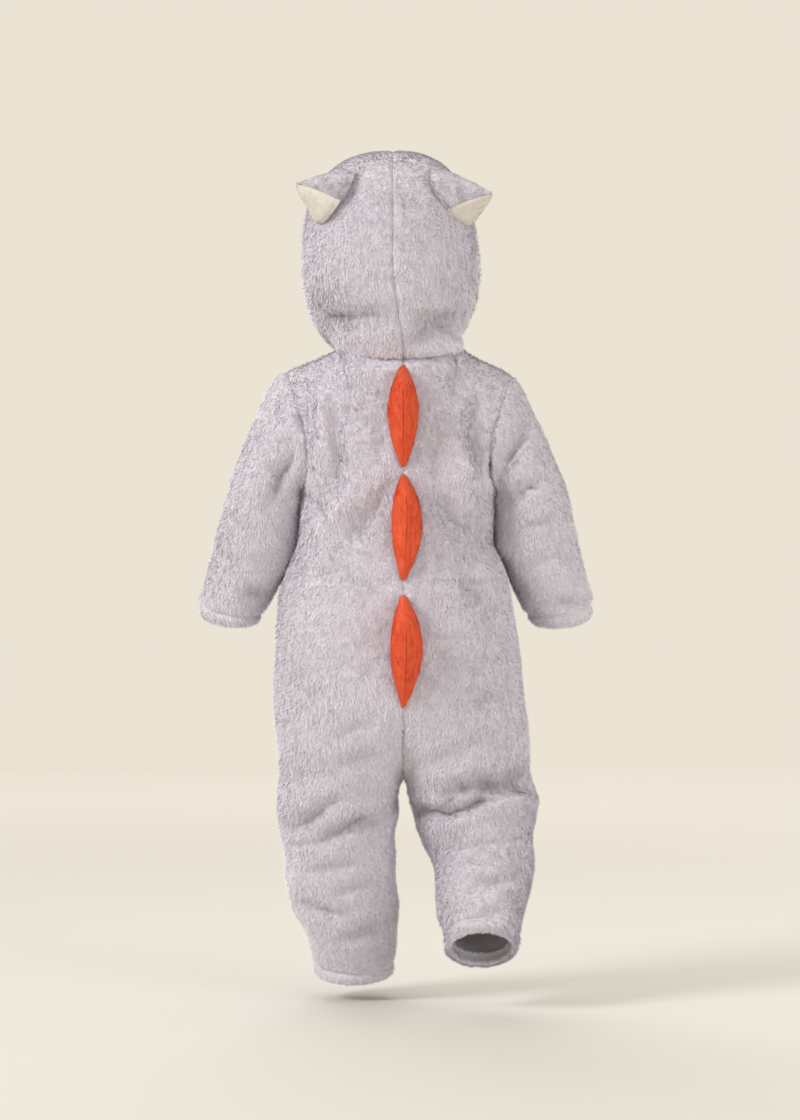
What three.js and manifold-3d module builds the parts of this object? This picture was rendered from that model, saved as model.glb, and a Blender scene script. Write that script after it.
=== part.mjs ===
// Hooded plush monster costume for a toddler, worn and hollow, in mid-stride.
// Millimetres, +Z up, -Y the wearer's front, +X the wearer's left. The origin is the middle of the
// neck at the height of the neck seam.
import * as THREE from "three";
import { mergeVertices } from "three/addons/utils/BufferGeometryUtils.js";
import Module from "manifold-3d";

// ---------------------------------------------------------------- sizes shared by all pieces
const LEFT = 1;
const RIGHT = -1;
const BACK = 1;
const FRONT = -1;
const WALL = 4; // knit backing with its pile
const SEAM_GAP = 0.3; // between neighbouring pieces
const HALF_GAP = SEAM_GAP / 2;
const QUARTER_TURN = Math.PI / 2;

const UNDERARM_Z = -122;
const SEAT_TOP_Z = -300; // below this the trunk divides into the legs
const CROTCH_Z = -393;
const TRUNK_SQUARENESS = 2.4; // exponent of the trunk's oval: 2 is an ellipse

// Half-widths and half-depths of the trunk, seen from above.
const TRUNK = [
  { z: -122, left: 97, right: 89, back: 64, front: 66 },
  { z: -150, left: 100, right: 87, back: 66, front: 71 },
  { z: -170, left: 101, right: 85, back: 68, front: 75 },
  { z: -188, left: 107, right: 93, back: 70, front: 78 },
  { z: -210, left: 116, right: 101, back: 73, front: 80 },
  { z: -240, left: 121, right: 106, back: 76, front: 81 },
  { z: -270, left: 123, right: 111, back: 80, front: 81 },
  { z: -305, left: 125, right: 115, back: 83, front: 80 },
  { z: -341, left: 125, right: 119, back: 83, front: 78 },
  { z: -393, left: 119, right: 123, back: 80, front: 74 },
];

// Sections of each leg: the middle, the half-width, the half-depth and how far the leg swings back.
const LEGS = {
  [LEFT]: [
    { z: -393, x: 60.5, y: 0, wide: 59, deep: 70, swing: 0 },
    { z: -415, x: 62.5, y: -4, wide: 58.5, deep: 67, swing: -5 },
    { z: -434, x: 62.5, y: -8, wide: 59, deep: 64, swing: -8 },
    { z: -450, x: 63.5, y: -11, wide: 55.5, deep: 61, swing: -9 },
    { z: -470, x: 61.5, y: -15, wide: 54, deep: 58, swing: -10 },
    { z: -500, x: 60, y: -21, wide: 53.5, deep: 56, swing: -11 },
    { z: -524, x: 56, y: -27, wide: 52.5, deep: 54, swing: -12 },
    { z: -545, x: 51, y: -32, wide: 46, deep: 49, swing: -13 },
    { z: -566, x: 48, y: -37, wide: 42, deep: 44, swing: -13 },
    { z: -590, x: 47.5, y: -43, wide: 38, deep: 40, swing: -14 },
  ],
  [RIGHT]: [
    { z: -393, x: -62, y: 2, wide: 60.5, deep: 69, swing: 0 },
    { z: -415, x: -67, y: 0, wide: 63.5, deep: 66, swing: 2 },
    { z: -436, x: -69, y: 0, wide: 60, deep: 62, swing: 8 },
    { z: -458, x: -71, y: 5, wide: 54, deep: 56, swing: 18 },
    { z: -480, x: -77, y: 15, wide: 49, deep: 51, swing: 28 },
    { z: -502, x: -76, y: 28, wide: 46.5, deep: 47, swing: 34 },
    { z: -522, x: -73, y: 42, wide: 42.5, deep: 44, swing: 36 },
    { z: -540, x: -74, y: 55, wide: 38, deep: 40, swing: 36 },
    { z: -556, x: -73, y: 67, wide: 35, deep: 37, swing: 36 },
  ],
};

// The neck seam, an oval that dips at the front, and the share of a panel's top edge that it takes.
const YOKE_ROWS = [0.002, 0.14, 0.28, 0.42, 0.57, 0.73, 0.87];
const NECK = { x: 4, half: 60, back: 43, front: 47, backZ: 0, sideZ: 12, frontZ: -11, share: 0.4 };
const NECK_TURNS = [0, 0.125, 0.25, 0.375, 0.5];
const SHOULDER_COLUMNS = [0.55, 0.7, 0.85, 1];
const SHOULDER_TIP = { [LEFT]: { x: 115, z: -8 }, [RIGHT]: { x: -107, z: -12 } };
const ARMHOLE = { depth: 44, inset: 26 };

// Sections of each sleeve in the view from behind: the outer and the inner edge, then the middle's
// y, the half-depth and how far the arm swings back.
const SLEEVES = {
  [LEFT]: [
    { at: 0, outX: 115, outZ: -8, inX: 97, inZ: -122, y: 0, deep: 46, swing: 0 },
    { at: 0.08, outX: 127, outZ: -18, inX: 98, inZ: -123.5, y: -1, deep: 47, swing: 0 },
    { at: 0.17, outX: 138, outZ: -41, inX: 99, inZ: -126, y: -3, deep: 47, swing: -3 },
    { at: 0.26, outX: 148, outZ: -64, inX: 100.5, inZ: -130, y: -5, deep: 46, swing: -5 },
    { at: 0.36, outX: 157, outZ: -88, inX: 102, inZ: -137, y: -7, deep: 45, swing: -7 },
    { at: 0.46, outX: 166, outZ: -112, inX: 103, inZ: -149, y: -9, deep: 43, swing: -9 },
    { at: 0.6, outX: 174, outZ: -143, inX: 105, inZ: -172, y: -13, deep: 41, swing: -11 },
    { at: 0.74, outX: 182, outZ: -174, inX: 112, inZ: -197, y: -17, deep: 39, swing: -12 },
    { at: 0.87, outX: 191, outZ: -207, inX: 124, inZ: -224, y: -22, deep: 37, swing: -13 },
    { at: 0.95, outX: 198, outZ: -229, inX: 134, inZ: -240, y: -25, deep: 33, swing: -14 },
    { at: 1, outX: 194, outZ: -246, inX: 142, inZ: -251, y: -28, deep: 28, swing: -14 },
  ],
  [RIGHT]: [
    { at: 0, outX: -107, outZ: -12, inX: -89, inZ: -122, y: 0, deep: 46, swing: 0 },
    { at: 0.08, outX: -117, outZ: -26, inX: -90, inZ: -123.5, y: -1, deep: 47, swing: 0 },
    { at: 0.17, outX: -127, outZ: -48, inX: -91, inZ: -126, y: -3, deep: 47, swing: -3 },
    { at: 0.26, outX: -138, outZ: -70, inX: -91.5, inZ: -130, y: -5, deep: 46, swing: -5 },
    { at: 0.36, outX: -147, outZ: -95, inX: -92, inZ: -137, y: -7, deep: 45, swing: -7 },
    { at: 0.46, outX: -157, outZ: -118, inX: -92, inZ: -150, y: -9, deep: 43, swing: -9 },
    { at: 0.6, outX: -164, outZ: -147, inX: -92, inZ: -172, y: -13, deep: 41, swing: -11 },
    { at: 0.74, outX: -170, outZ: -178, inX: -97, inZ: -196, y: -17, deep: 39, swing: -12 },
    { at: 0.87, outX: -177, outZ: -206, inX: -108, inZ: -222, y: -21, deep: 37, swing: -13 },
    { at: 0.95, outX: -184, outZ: -230, inX: -117, inZ: -240, y: -24, deep: 33, swing: -14 },
    { at: 1, outX: -179, outZ: -247, inX: -127, inZ: -252, y: -27, deep: 28, swing: -14 },
  ],
};
const SLEEVE_CLEAR = 2; // between a hanging sleeve and the trunk
const SLEEVE_BLEND = 0.4; // the share of the sleeve that eases from the armhole's shape to an oval

// The hood's form, with its own half-width on each side, and the oval of the face opening.
const HOOD = { x: 10, y: -8, z: 100, left: 87, right: 80, deep: 92, high: 103, squareness: 2.5 };
const FACE = { forward: 46, half: 74, up: 88, down: 110, corner: 138 };
const HOOD_EASE = 0.22; // the share of the hood that eases from the neck seam to the form

// Hems turned up at the wrists and ankles: a stitched groove, then a soft roll.
const HEM = { depth: 11, groove: 1.6, roll: 1.2, tuck: 1.8 };

// Soft creases in the view from behind or in front: the two ends, the half-width, and the height,
// which is negative for a trough.
const CREASES = [
  { face: BACK, x1: 62, z1: -52, x2: 66, z2: -112, wide: 9, high: -4 },
  { face: BACK, x1: 80, z1: -30, x2: 72, z2: -98, wide: 8, high: 3 },
  { face: BACK, x1: -70, z1: -34, x2: -77, z2: -112, wide: 9, high: -4 },
  { face: BACK, x1: -52, z1: -48, x2: -60, z2: -128, wide: 10, high: 3 },
  { face: BACK, x1: 14, z1: -116, x2: 62, z2: -176, wide: 12, high: -5 },
  { face: BACK, x1: 40, z1: -112, x2: 84, z2: -150, wide: 11, high: 3 },
  { face: BACK, x1: -22, z1: -128, x2: -76, z2: -172, wide: 12, high: -4 },
  { face: BACK, x1: -60, z1: -205, x2: -84, z2: -236, wide: 12, high: -4 },
  { face: BACK, x1: 20, z1: -384, x2: 92, z2: -388, wide: 9, high: -4 },
  { face: BACK, x1: -22, z1: -372, x2: -78, z2: -372, wide: 9, high: -3 },
  { face: BACK, x1: 104, z1: -440, x2: 66, z2: -424, wide: 9, high: -6 },
  { face: BACK, x1: 84, z1: -458, x2: 12, z2: -432, wide: 9, high: -7 },
  { face: BACK, x1: 100, z1: -520, x2: 62, z2: -528, wide: 9, high: -4 },
  { face: BACK, x1: 60, z1: -552, x2: 14, z2: -540, wide: 9, high: -4 },
  { face: BACK, x1: -50, z1: -414, x2: -116, z2: -401, wide: 9, high: -9 },
  { face: BACK, x1: -8, z1: -424, x2: -34, z2: -441, wide: 8, high: -10 },
  { face: BACK, x1: -34, z1: -441, x2: -84, z2: -418, wide: 8, high: -9 },
  { face: BACK, x1: -24, z1: -418, x2: -70, z2: -408, wide: 9, high: 5 },
  { face: BACK, x1: -58, z1: -500, x2: -108, z2: -486, wide: 9, high: -3 },
  { face: FRONT, x1: 58, z1: -60, x2: 70, z2: -116, wide: 10, high: -4 },
  { face: FRONT, x1: -56, z1: -58, x2: -66, z2: -118, wide: 10, high: -4 },
  { face: FRONT, x1: 34, z1: -150, x2: 88, z2: -178, wide: 12, high: -4 },
  { face: FRONT, x1: -36, z1: -156, x2: -76, z2: -182, wide: 12, high: -4 },
  { face: FRONT, x1: 26, z1: -352, x2: 96, z2: -372, wide: 11, high: -6 },
  { face: FRONT, x1: -26, z1: -356, x2: -98, z2: -366, wide: 11, high: -5 },
  { face: FRONT, x1: 98, z1: -446, x2: 30, z2: -462, wide: 10, high: -4 },
  { face: FRONT, x1: 92, z1: -530, x2: 30, z2: -544, wide: 9, high: -5 },
  { face: FRONT, x1: -40, z1: -520, x2: -104, z2: -506, wide: 9, high: -4 },
  { face: BACK, x1: 118, z1: -132, x2: 104, z2: -96, wide: 8, high: -5 },
  { face: BACK, x1: 150, z1: -222, x2: 128, z2: -226, wide: 8, high: -4 },
  { face: BACK, x1: -118, z1: -62, x2: -98, z2: -104, wide: 8, high: -6 },
  { face: BACK, x1: -132, z1: -118, x2: -100, z2: -130, wide: 8, high: -5 },
  { face: BACK, x1: -172, z1: -226, x2: -140, z2: -234, wide: 7, high: -3 },
  { face: FRONT, x1: 120, z1: -140, x2: 152, z2: -128, wide: 9, high: -4 },
  { face: FRONT, x1: 132, z1: -176, x2: 168, z2: -166, wide: 9, high: -4 },
  { face: FRONT, x1: -112, z1: -146, x2: -144, z2: -132, wide: 9, high: -4 },
  { face: FRONT, x1: -124, z1: -184, x2: -158, z2: -170, wide: 9, high: -4 },
  { face: BACK, x1: 78, z1: 34, x2: 22, z2: 44, wide: 9, high: -6 },
  { face: BACK, x1: 62, z1: 22, x2: 10, z2: 26, wide: 8, high: 3 },
  { face: BACK, x1: -22, z1: 12, x2: -56, z2: 42, wide: 8, high: -6 },
];

// The three stuffed fins sewn into the centre-back seam.
const FINS = [
  { name: "upper", top: -5, bottom: -104, half: 14, apex: 0.28, lean: 0, high: 42 },
  { name: "middle", top: -108, bottom: -211, half: 14, apex: 0.24, lean: -3.5, high: 42 },
  { name: "lower", top: -221, bottom: -330, half: 14.5, apex: 0.32, lean: -3, high: 42 },
];

// The ears, stuffed cones of an upper and an under piece: the ends of the base in the view from
// behind, the tip, and the half-depth of the base.
const EARS = {
  [LEFT]: { topX: 53, topZ: 177, lowX: 83, lowZ: 129, tip: [100, 70, 163], deep: 19 },
  [RIGHT]: { topX: -32, topZ: 176, lowX: -66, lowZ: 129, tip: [-83, 64, 155], deep: 19 },
};

// The zip down the centre front, its slider and its pull.
const ZIP = { top: -15, bottom: -305, half: 4, thick: 2, recess: 0.8 };
const SLIDER = { z: -27, wide: 6.8, high: 12, thick: 2, cheek: 1.3, lift: 0.5, pinOut: 4.6, tilt: 17 };
const PULL = { wide: 6, long: 24, thick: 1.4, pin: 0.8, ring: 2.1 };

const EAR_SEAT = 0.7; // between an ear and the hood, before it is sewn down

const COLOURS = { plush: 0xc9c3cf, band: 0xd9d4d6, cream: 0xe9dfd0, orange: 0xe0552c, metal: 0xb9b9bd };

const solids = await Module();
solids.setup();

// ---------------------------------------------------------------- small helpers
const vector = (x, y, z) => new THREE.Vector3(x, y, z);
const mix = (a, b, share) => a + (b - a) * share;
const clamp = (value, low, high) => Math.min(high, Math.max(low, value));
const radians = THREE.MathUtils.degToRad;
const sideName = (side) => (side === LEFT ? "left" : "right");

function ease(value, from, to) {
  const share = clamp((value - from) / (to - from), 0, 1);
  return share * share * (3 - 2 * share);
}

// One column of a table at a place along another column, on a smooth curve through the rows.
function column(rows, along, name, at) {
  const last = rows.length - 1;
  const sense = Math.sign(rows[last][along] - rows[0][along]);
  let i = 0;
  while (i < last - 1 && sense * (at - rows[i + 1][along]) > 0) i++;
  const slope = (k) => {
    const before = rows[Math.max(k - 1, 0)];
    const after = rows[Math.min(k + 1, last)];
    return (after[name] - before[name]) / (after[along] - before[along]);
  };
  const step = rows[i + 1][along] - rows[i][along];
  const f = clamp((at - rows[i][along]) / step, 0, 1);
  const rise = f * f * (3 - 2 * f);
  const bend = f * (1 - f) * step * ((1 - f) * slope(i) - f * slope(i + 1));
  return mix(rows[i][name], rows[i + 1][name], rise) + bend;
}

// Evenly spaced numbers from one end to the other, both included.
function spread(from, to, steps) {
  return Array.from({ length: steps + 1 }, (_, i) => mix(from, to, i / steps));
}

// ---------------------------------------------------------------- trunk and legs
// A point of the trunk's half-ring: turn 0 is the centre back, 0.5 the side and 1 the centre front.
function trunkPoint(side, z, turn) {
  const across = Math.sin(Math.PI * turn);
  const along = Math.cos(Math.PI * turn);
  const half = column(TRUNK, "z", sideName(side), z);
  const deep = column(TRUNK, "z", along > 0 ? "back" : "front", z);
  const n = TRUNK_SQUARENESS;
  const radius = (Math.abs(across / half) ** n + Math.abs(along / deep) ** n) ** (-1 / n);
  return vector(side * radius * across, radius * along, z);
}

// A point of a leg's ring: turn 0 and 1 are the inseam, 0.25 the back and 0.5 the outer side.
function legPoint(side, z, turn) {
  const value = (name) => column(LEGS[side], "z", name, z);
  const angle = 2 * Math.PI * turn;
  const back = value("deep") * Math.sin(angle);
  const swing = radians(value("swing"));
  const x = value("x") - side * value("wide") * Math.cos(angle);
  return vector(x, value("y") + back * Math.cos(swing), z + back * Math.sin(swing));
}

// The neck seam: turn 0 is the centre back and 1 the centre front.
function neckPoint(side, turn) {
  const across = Math.sin(Math.PI * turn);
  const along = Math.cos(Math.PI * turn);
  const endZ = along > 0 ? NECK.backZ : NECK.frontZ;
  const deep = along > 0 ? NECK.back : NECK.front;
  const half = NECK.half + side * NECK.x;
  return vector(side * half * across, deep * along, mix(endZ, NECK.sideZ, across * across));
}

// The top edge of a front or back panel: along the neck, then along the shoulder seam.
function panelTop(side, face, across) {
  if (across < NECK.share) {
    const turn = across / NECK.share / 2;
    return neckPoint(side, face === BACK ? turn : 1 - turn);
  }
  const share = (across - NECK.share) / (1 - NECK.share);
  const neck = neckPoint(side, 0.5);
  const tip = SHOULDER_TIP[side];
  return vector(mix(neck.x, tip.x, share), 0, mix(neck.z, tip.z, share));
}

// The panel above the underarm: rise 0 is the underarm's level and 1 the shoulder and neck.
function yokePoint(side, face, place, rise) {
  const across = Math.min(place, 1);
  const turn = face === BACK ? across / 2 : 1 - across / 2;
  const low = trunkPoint(side, UNDERARM_Z, turn);
  const top = panelTop(side, face, across);
  const height = Math.sin(rise * QUARTER_TURN);
  const edge = across ** 4;
  const bow = 2.28 * Math.sqrt(height) * (1 - height) ** 0.75;
  const inset = ARMHOLE.inset * Math.sqrt(height) * (1 - height) ** 1.5;
  return vector(
    mix(low.x, top.x, rise) - side * inset * edge,
    mix(top.y, low.y, Math.cos(rise * QUARTER_TURN)) + face * ARMHOLE.depth * bow * edge,
    mix(low.z, top.z, height),
  );
}

// A body panel from the shoulder to the ankle. across 0 is the centre seam and then the inseam, and
// 1 the armhole and then the side seam. down runs 0 to 1 over the yoke, to 2 over the trunk, to 3
// over the seat and to 4 along the leg.
function bodyPoint(side, face, across, down) {
  const turn = face === BACK ? across / 2 : 1 - across / 2;
  if (down <= 1) return yokePoint(side, face, across, 1 - down);
  if (down <= 2) return trunkPoint(side, mix(UNDERARM_Z, SEAT_TOP_Z, down - 1), turn);
  if (down <= 3) {
    const angle = (down - 2) * QUARTER_TURN;
    const z = mix(SEAT_TOP_Z, CROTCH_Z, Math.sin(angle));
    const leg = legPoint(side, CROTCH_Z, turn).setZ(z);
    return trunkPoint(side, z, turn).lerp(leg, 1 - Math.cos(angle));
  }
  const rows = LEGS[side];
  return legPoint(side, mix(CROTCH_Z, rows[rows.length - 1].z, down - 3), turn);
}

// A place inside the body beside that part of a panel, which tells the wall's inside from its outside.
function bodyHeart(side, down) {
  if (down <= 1) return vector(side * 45, 0, mix(-45, UNDERARM_Z, down));
  const z = down <= 2 ? mix(UNDERARM_Z, SEAT_TOP_Z, down - 1) : mix(SEAT_TOP_Z, CROTCH_Z, down - 2);
  if (down <= 3) return vector(side * 55, 0, z);
  const rows = LEGS[side];
  const legZ = mix(CROTCH_Z, rows[rows.length - 1].z, down - 3);
  return vector(column(rows, "z", "x", legZ), column(rows, "z", "y", legZ), legZ);
}

// The y of the centre-back or centre-front line at a height.
function centreLine(face, z) {
  const name = face === BACK ? "back" : "front";
  if (z > UNDERARM_Z) {
    const height = clamp((z - UNDERARM_Z) / (NECK[name + "Z"] - UNDERARM_Z), 0, 1);
    const deep = column(TRUNK, "z", name, UNDERARM_Z);
    return face * mix(NECK[name], deep, Math.sqrt(1 - height * height));
  }
  const trunk = column(TRUNK, "z", name, z);
  const sink = clamp((SEAT_TOP_Z - z) / (SEAT_TOP_Z - CROTCH_Z), 0, 1);
  return face * trunk * Math.sqrt(1 - sink * sink);
}

// How far from the middle plane a panel's centre edge stays, which leaves room for the zip.
function centreEdge(face, z) {
  if (face === BACK) return HALF_GAP;
  return mix(HALF_GAP, ZIP.half, ease(z, ZIP.bottom - 40, ZIP.bottom - 14));
}

// ---------------------------------------------------------------- sleeves
// The armhole's edge: turn 0 is the underarm, 0.25 the back, 0.5 the shoulder and 0.75 the front.
function armholePoint(side, turn) {
  if (turn <= 0.5) return yokePoint(side, BACK, 1, turn * 2);
  return yokePoint(side, FRONT, 1, 2 - turn * 2);
}

function sleeveOval(side, turn, down) {
  const value = (name) => column(SLEEVES[side], "at", name, down);
  const swing = radians(value("swing"));
  const outward = 0.5 - 0.5 * Math.cos(2 * Math.PI * turn);
  const back = value("deep") * Math.sin(2 * Math.PI * turn);
  return vector(
    mix(value("inX"), value("outX"), outward),
    value("y") + back * Math.cos(swing),
    mix(value("inZ"), value("outZ"), outward) + back * Math.sin(swing),
  );
}

// A sleeve's point. It starts on the armhole's edge, eases into ovals, and hangs clear of the trunk.
function sleevePoint(side, turn, down) {
  const ring = turn - Math.floor(turn);
  const point = sleeveOval(side, ring, down);
  const fade = 1 - ease(down, 0, SLEEVE_BLEND);
  point.addScaledVector(armholePoint(side, ring).sub(sleeveOval(side, ring, 0)), fade);
  point.x += side * SEAM_GAP;
  if (point.z < UNDERARM_Z) {
    const deep = column(TRUNK, "z", point.y > 0 ? "back" : "front", point.z);
    const room = Math.max(0, 1 - Math.abs(point.y / deep) ** TRUNK_SQUARENESS);
    const half = column(TRUNK, "z", sideName(side), point.z) * room ** (1 / TRUNK_SQUARENESS);
    const clear = half + SLEEVE_CLEAR * ease(UNDERARM_Z - point.z, 0, 10);
    if (side * point.x < clear) point.x = side * clear;
  }
  return point;
}

function sleeveHeart(side, down) {
  const value = (name) => column(SLEEVES[side], "at", name, down);
  return vector(mix(value("inX"), value("outX"), 0.5), value("y"), mix(value("inZ"), value("outZ"), 0.5));
}

// ---------------------------------------------------------------- hood
// The distance from the middle of the hood to its form in a direction.
function hoodRadius(direction) {
  const half = direction.x > 0 ? HOOD.left : HOOD.right;
  const n = HOOD.squareness;
  const level = Math.abs(direction.x / half) ** n + Math.abs(direction.y / HOOD.deep) ** n;
  return (level + Math.abs(direction.z / HOOD.high) ** n) ** (-1 / n);
}

const hoodMiddle = () => vector(HOOD.x, HOOD.y, HOOD.z);
const hoodCentreX = (z) => HOOD.x * ease(z, 0, 90); // the head turns a little over the shoulders

// The face opening's oval: 0 degrees is the chin, 90 the cheek and 180 the forehead.
function facePoint(side, degrees) {
  const angle = radians(degrees);
  const high = Math.cos(angle) > 0 ? FACE.down : FACE.up;
  const half = FACE.half * (side === LEFT ? 1 : HOOD.right / HOOD.left);
  return hoodMiddle().add(vector(side * half * Math.sin(angle), -FACE.forward, -high * Math.cos(angle)));
}

// The four edges of a hood panel: the neck, the centre seam, and the two stretches of the face opening.
const hoodNeckEdge = (side, across) => neckPoint(side, across).add(vector(0, 0, SEAM_GAP));

function hoodSeamEdge(side, up) {
  const start = hoodNeckEdge(side, 0).sub(hoodMiddle());
  const end = facePoint(side, 180).sub(hoodMiddle());
  const from = Math.atan2(start.z, start.y);
  const to = Math.atan2(end.z, end.y);
  const angle = mix(from, to, up);
  const direction = vector(0, Math.cos(angle), Math.sin(angle));
  const radius = mix(Math.hypot(start.y, start.z), hoodRadius(direction), ease(up, 0, HOOD_EASE));
  const point = hoodMiddle().addScaledVector(direction, radius);
  return point.setX(hoodCentreX(point.z));
}

function hoodFaceEdge(side, up) {
  const offset = hoodNeckEdge(side, 1).sub(facePoint(side, 0));
  return facePoint(side, FACE.corner * up).addScaledVector(offset, (1 - up) ** 2);
}

const hoodBrowEdge = (side, across) => facePoint(side, mix(180, FACE.corner, across));

// A hood panel's point: the four edges give a smooth sheet, which is then drawn out onto the form.
function hoodPoint(side, across, up) {
  const sheet = vector(0, 0, 0)
    .addScaledVector(hoodNeckEdge(side, across), 1 - up)
    .addScaledVector(hoodBrowEdge(side, across), up)
    .addScaledVector(hoodSeamEdge(side, up), 1 - across)
    .addScaledVector(hoodFaceEdge(side, up), across)
    .addScaledVector(hoodNeckEdge(side, 0), -(1 - across) * (1 - up))
    .addScaledVector(hoodNeckEdge(side, 1), -across * (1 - up))
    .addScaledVector(hoodBrowEdge(side, 0), -(1 - across) * up)
    .addScaledVector(hoodBrowEdge(side, 1), -across * up);
  const reach = sheet.sub(hoodMiddle());
  const plain = reach.length();
  const direction = reach.divideScalar(plain);
  const radius = mix(plain, hoodRadius(direction), ease(up, 0, HOOD_EASE));
  return hoodMiddle().addScaledVector(direction, radius);
}

// ---------------------------------------------------------------- walls of cloth
// The height of the creases at a point whose outward direction is given.
function creaseHeight(point, outward) {
  let height = 0;
  for (const crease of CREASES) {
    const facing = crease.face * outward.y;
    if (facing <= 0) continue;
    const alongX = crease.x2 - crease.x1;
    const alongZ = crease.z2 - crease.z1;
    const offX = point.x - crease.x1;
    const offZ = point.z - crease.z1;
    const share = clamp((offX * alongX + offZ * alongZ) / (alongX ** 2 + alongZ ** 2), 0, 1);
    const away = Math.hypot(offX - share * alongX, offZ - share * alongZ) / crease.wide;
    if (away < 3) height += crease.high * Math.exp(-away * away) * ease(facing, 0, 0.4);
  }
  return height;
}

// A turned-up hem's change of height at a distance from the cloth's end.
function hemHeight(fromEnd) {
  const groove = (fromEnd - HEM.depth) / 2.2;
  const roll = (fromEnd - HEM.depth / 2) / (HEM.depth / 2);
  const edge = Math.max(0, 1 - fromEnd / 2.5);
  return -HEM.groove * Math.exp(-groove * groove) + HEM.roll * Math.max(0, 1 - roll * roll) - HEM.tuck * edge;
}

// The outward direction of a surface at a place. heart gives a place inside the garment.
function outwardAt(surface, heart, across, down) {
  const near = 0.002;
  const wide = 0.05;
  const alongAcross = surface(across + wide, down).sub(surface(across - wide, down));
  const alongDown = surface(across, down + near).sub(surface(across, Math.max(down - near, 0)));
  const outward = alongAcross.cross(alongDown).normalize();
  if (outward.dot(surface(across, down).sub(heart(down))) < 0) outward.negate();
  return outward;
}

// The outer and inner points of a wall at a place on a surface, which faces as it does at facing.
// surface takes (across, down).
function wallPoints({ surface, heart, across, down, facing = across, fromEnd = 1000, level = false }) {
  const outward = outwardAt(surface, heart, facing, down);
  if (level) outward.setZ(0).normalize();
  const point = surface(across, down);
  const outer = point.addScaledVector(outward, creaseHeight(point, outward) + hemHeight(fromEnd));
  return [outer, outer.clone().addScaledVector(outward, -WALL)];
}

// A closed solid from rows of outer and inner points. A ring joins its last column to its first.
function wallGeometry(rows, ring) {
  const down = rows.length;
  const across = rows[0].length;
  const positions = [];
  for (const layer of [0, 1]) {
    for (const row of rows) for (const pair of row) positions.push(...pair[layer].toArray());
  }
  const at = (layer, i, j) => layer * down * across + i * across + (j % across);
  const faces = [];
  const quad = (a, b, c, d) => faces.push(a, b, c, a, c, d);
  const lastColumn = ring ? across : across - 1;
  for (let i = 0; i < down - 1; i++) {
    for (let j = 0; j < lastColumn; j++) {
      quad(at(0, i, j), at(0, i + 1, j), at(0, i + 1, j + 1), at(0, i, j + 1));
      quad(at(1, i, j), at(1, i, j + 1), at(1, i + 1, j + 1), at(1, i + 1, j));
    }
  }
  for (let j = 0; j < lastColumn; j++) {
    quad(at(0, 0, j), at(0, 0, j + 1), at(1, 0, j + 1), at(1, 0, j));
    quad(at(0, down - 1, j), at(1, down - 1, j), at(1, down - 1, j + 1), at(0, down - 1, j + 1));
  }
  if (!ring) {
    for (let i = 0; i < down - 1; i++) {
      quad(at(0, i, 0), at(1, i, 0), at(1, i + 1, 0), at(0, i + 1, 0));
      quad(at(0, i, across - 1), at(0, i + 1, across - 1), at(1, i + 1, across - 1), at(1, i, across - 1));
    }
  }
  return facingOut(positions, faces);
}

// A geometry whose faces point out, whichever way round its points were given.
function facingOut(positions, faces) {
  let volume = 0;
  const corner = (k) => vector(positions[3 * k], positions[3 * k + 1], positions[3 * k + 2]);
  for (let k = 0; k < faces.length; k += 3) {
    volume += corner(faces[k]).dot(corner(faces[k + 1]).cross(corner(faces[k + 2])));
  }
  const turned = volume < 0 ? faces.slice().reverse() : faces;
  const geometry = new THREE.BufferGeometry();
  geometry.setAttribute("position", new THREE.Float32BufferAttribute(positions, 3));
  geometry.setIndex(turned);
  geometry.computeVertexNormals();
  return geometry;
}

// A closed solid through outlines of equally many points, with flat ends.
function loftGeometry(outlines) {
  const count = outlines[0].length;
  const positions = outlines.flat().flatMap((point) => point.toArray());
  const faces = [];
  for (let i = 0; i < outlines.length - 1; i++) {
    for (let j = 0; j < count; j++) {
      const next = (j + 1) % count;
      const [a, b] = [i * count + j, i * count + next];
      faces.push(a, b, b + count, a, b + count, a + count);
    }
  }
  const end = (outlines.length - 1) * count;
  for (let j = 1; j < count - 1; j++) faces.push(0, j + 1, j, end, end + j, end + j + 1);
  return facingOut(positions, faces);
}

// Joins two closed solids, or cuts the second from the first.
function combine(first, action, second) {
  const [a, b] = [first, second].map((geometry) => {
    const plain = new THREE.BufferGeometry();
    plain.setAttribute("position", geometry.getAttribute("position"));
    plain.setIndex(geometry.getIndex());
    const merged = mergeVertices(plain, 1e-4);
    const vertProperties = merged.attributes.position.array;
    const triVerts = new Uint32Array(merged.index.array);
    return new solids.Manifold(new solids.Mesh({ numProp: 3, vertProperties, triVerts }));
  });
  const mesh = a[action](b).getMesh();
  const geometry = new THREE.BufferGeometry();
  geometry.setAttribute("position", new THREE.BufferAttribute(mesh.vertProperties, 3));
  geometry.setIndex([...mesh.triVerts]);
  geometry.computeVertexNormals();
  return geometry;
}

const garment = new THREE.Group();

function addPiece(name, geometry, colour, metalness = 0) {
  const roughness = metalness ? 0.35 : 0.95;
  const material = new THREE.MeshStandardMaterial({ color: COLOURS[colour], roughness, metalness });
  const mesh = new THREE.Mesh(geometry, material);
  mesh.name = name;
  garment.add(mesh);
  return mesh;
}

// ---------------------------------------------------------------- the cloth pieces
const WAIST = 1.49; // where the bodice meets the hips, as a place down the panels
const THIGH = 3.1; // where the legs are cut from the hips
const HEM_ROWS = [HEM.depth + 4, HEM.depth, HEM.depth - 5, 2.5, 0]; // distances from the cloth's end

function bodyWallPoints(side, face, across, down) {
  const rows = LEGS[side];
  const legLength = CROTCH_Z - rows[rows.length - 1].z;
  return wallPoints({
    surface: (a, d) => bodyPoint(side, face, a, Math.min(d, 4)),
    heart: (d) => bodyHeart(side, d),
    across,
    down,
    facing: down < 1 ? Math.min(across, 0.88) : across,
    fromEnd: down > 3 ? (4 - down) * legLength : 1000,
  });
}

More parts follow.
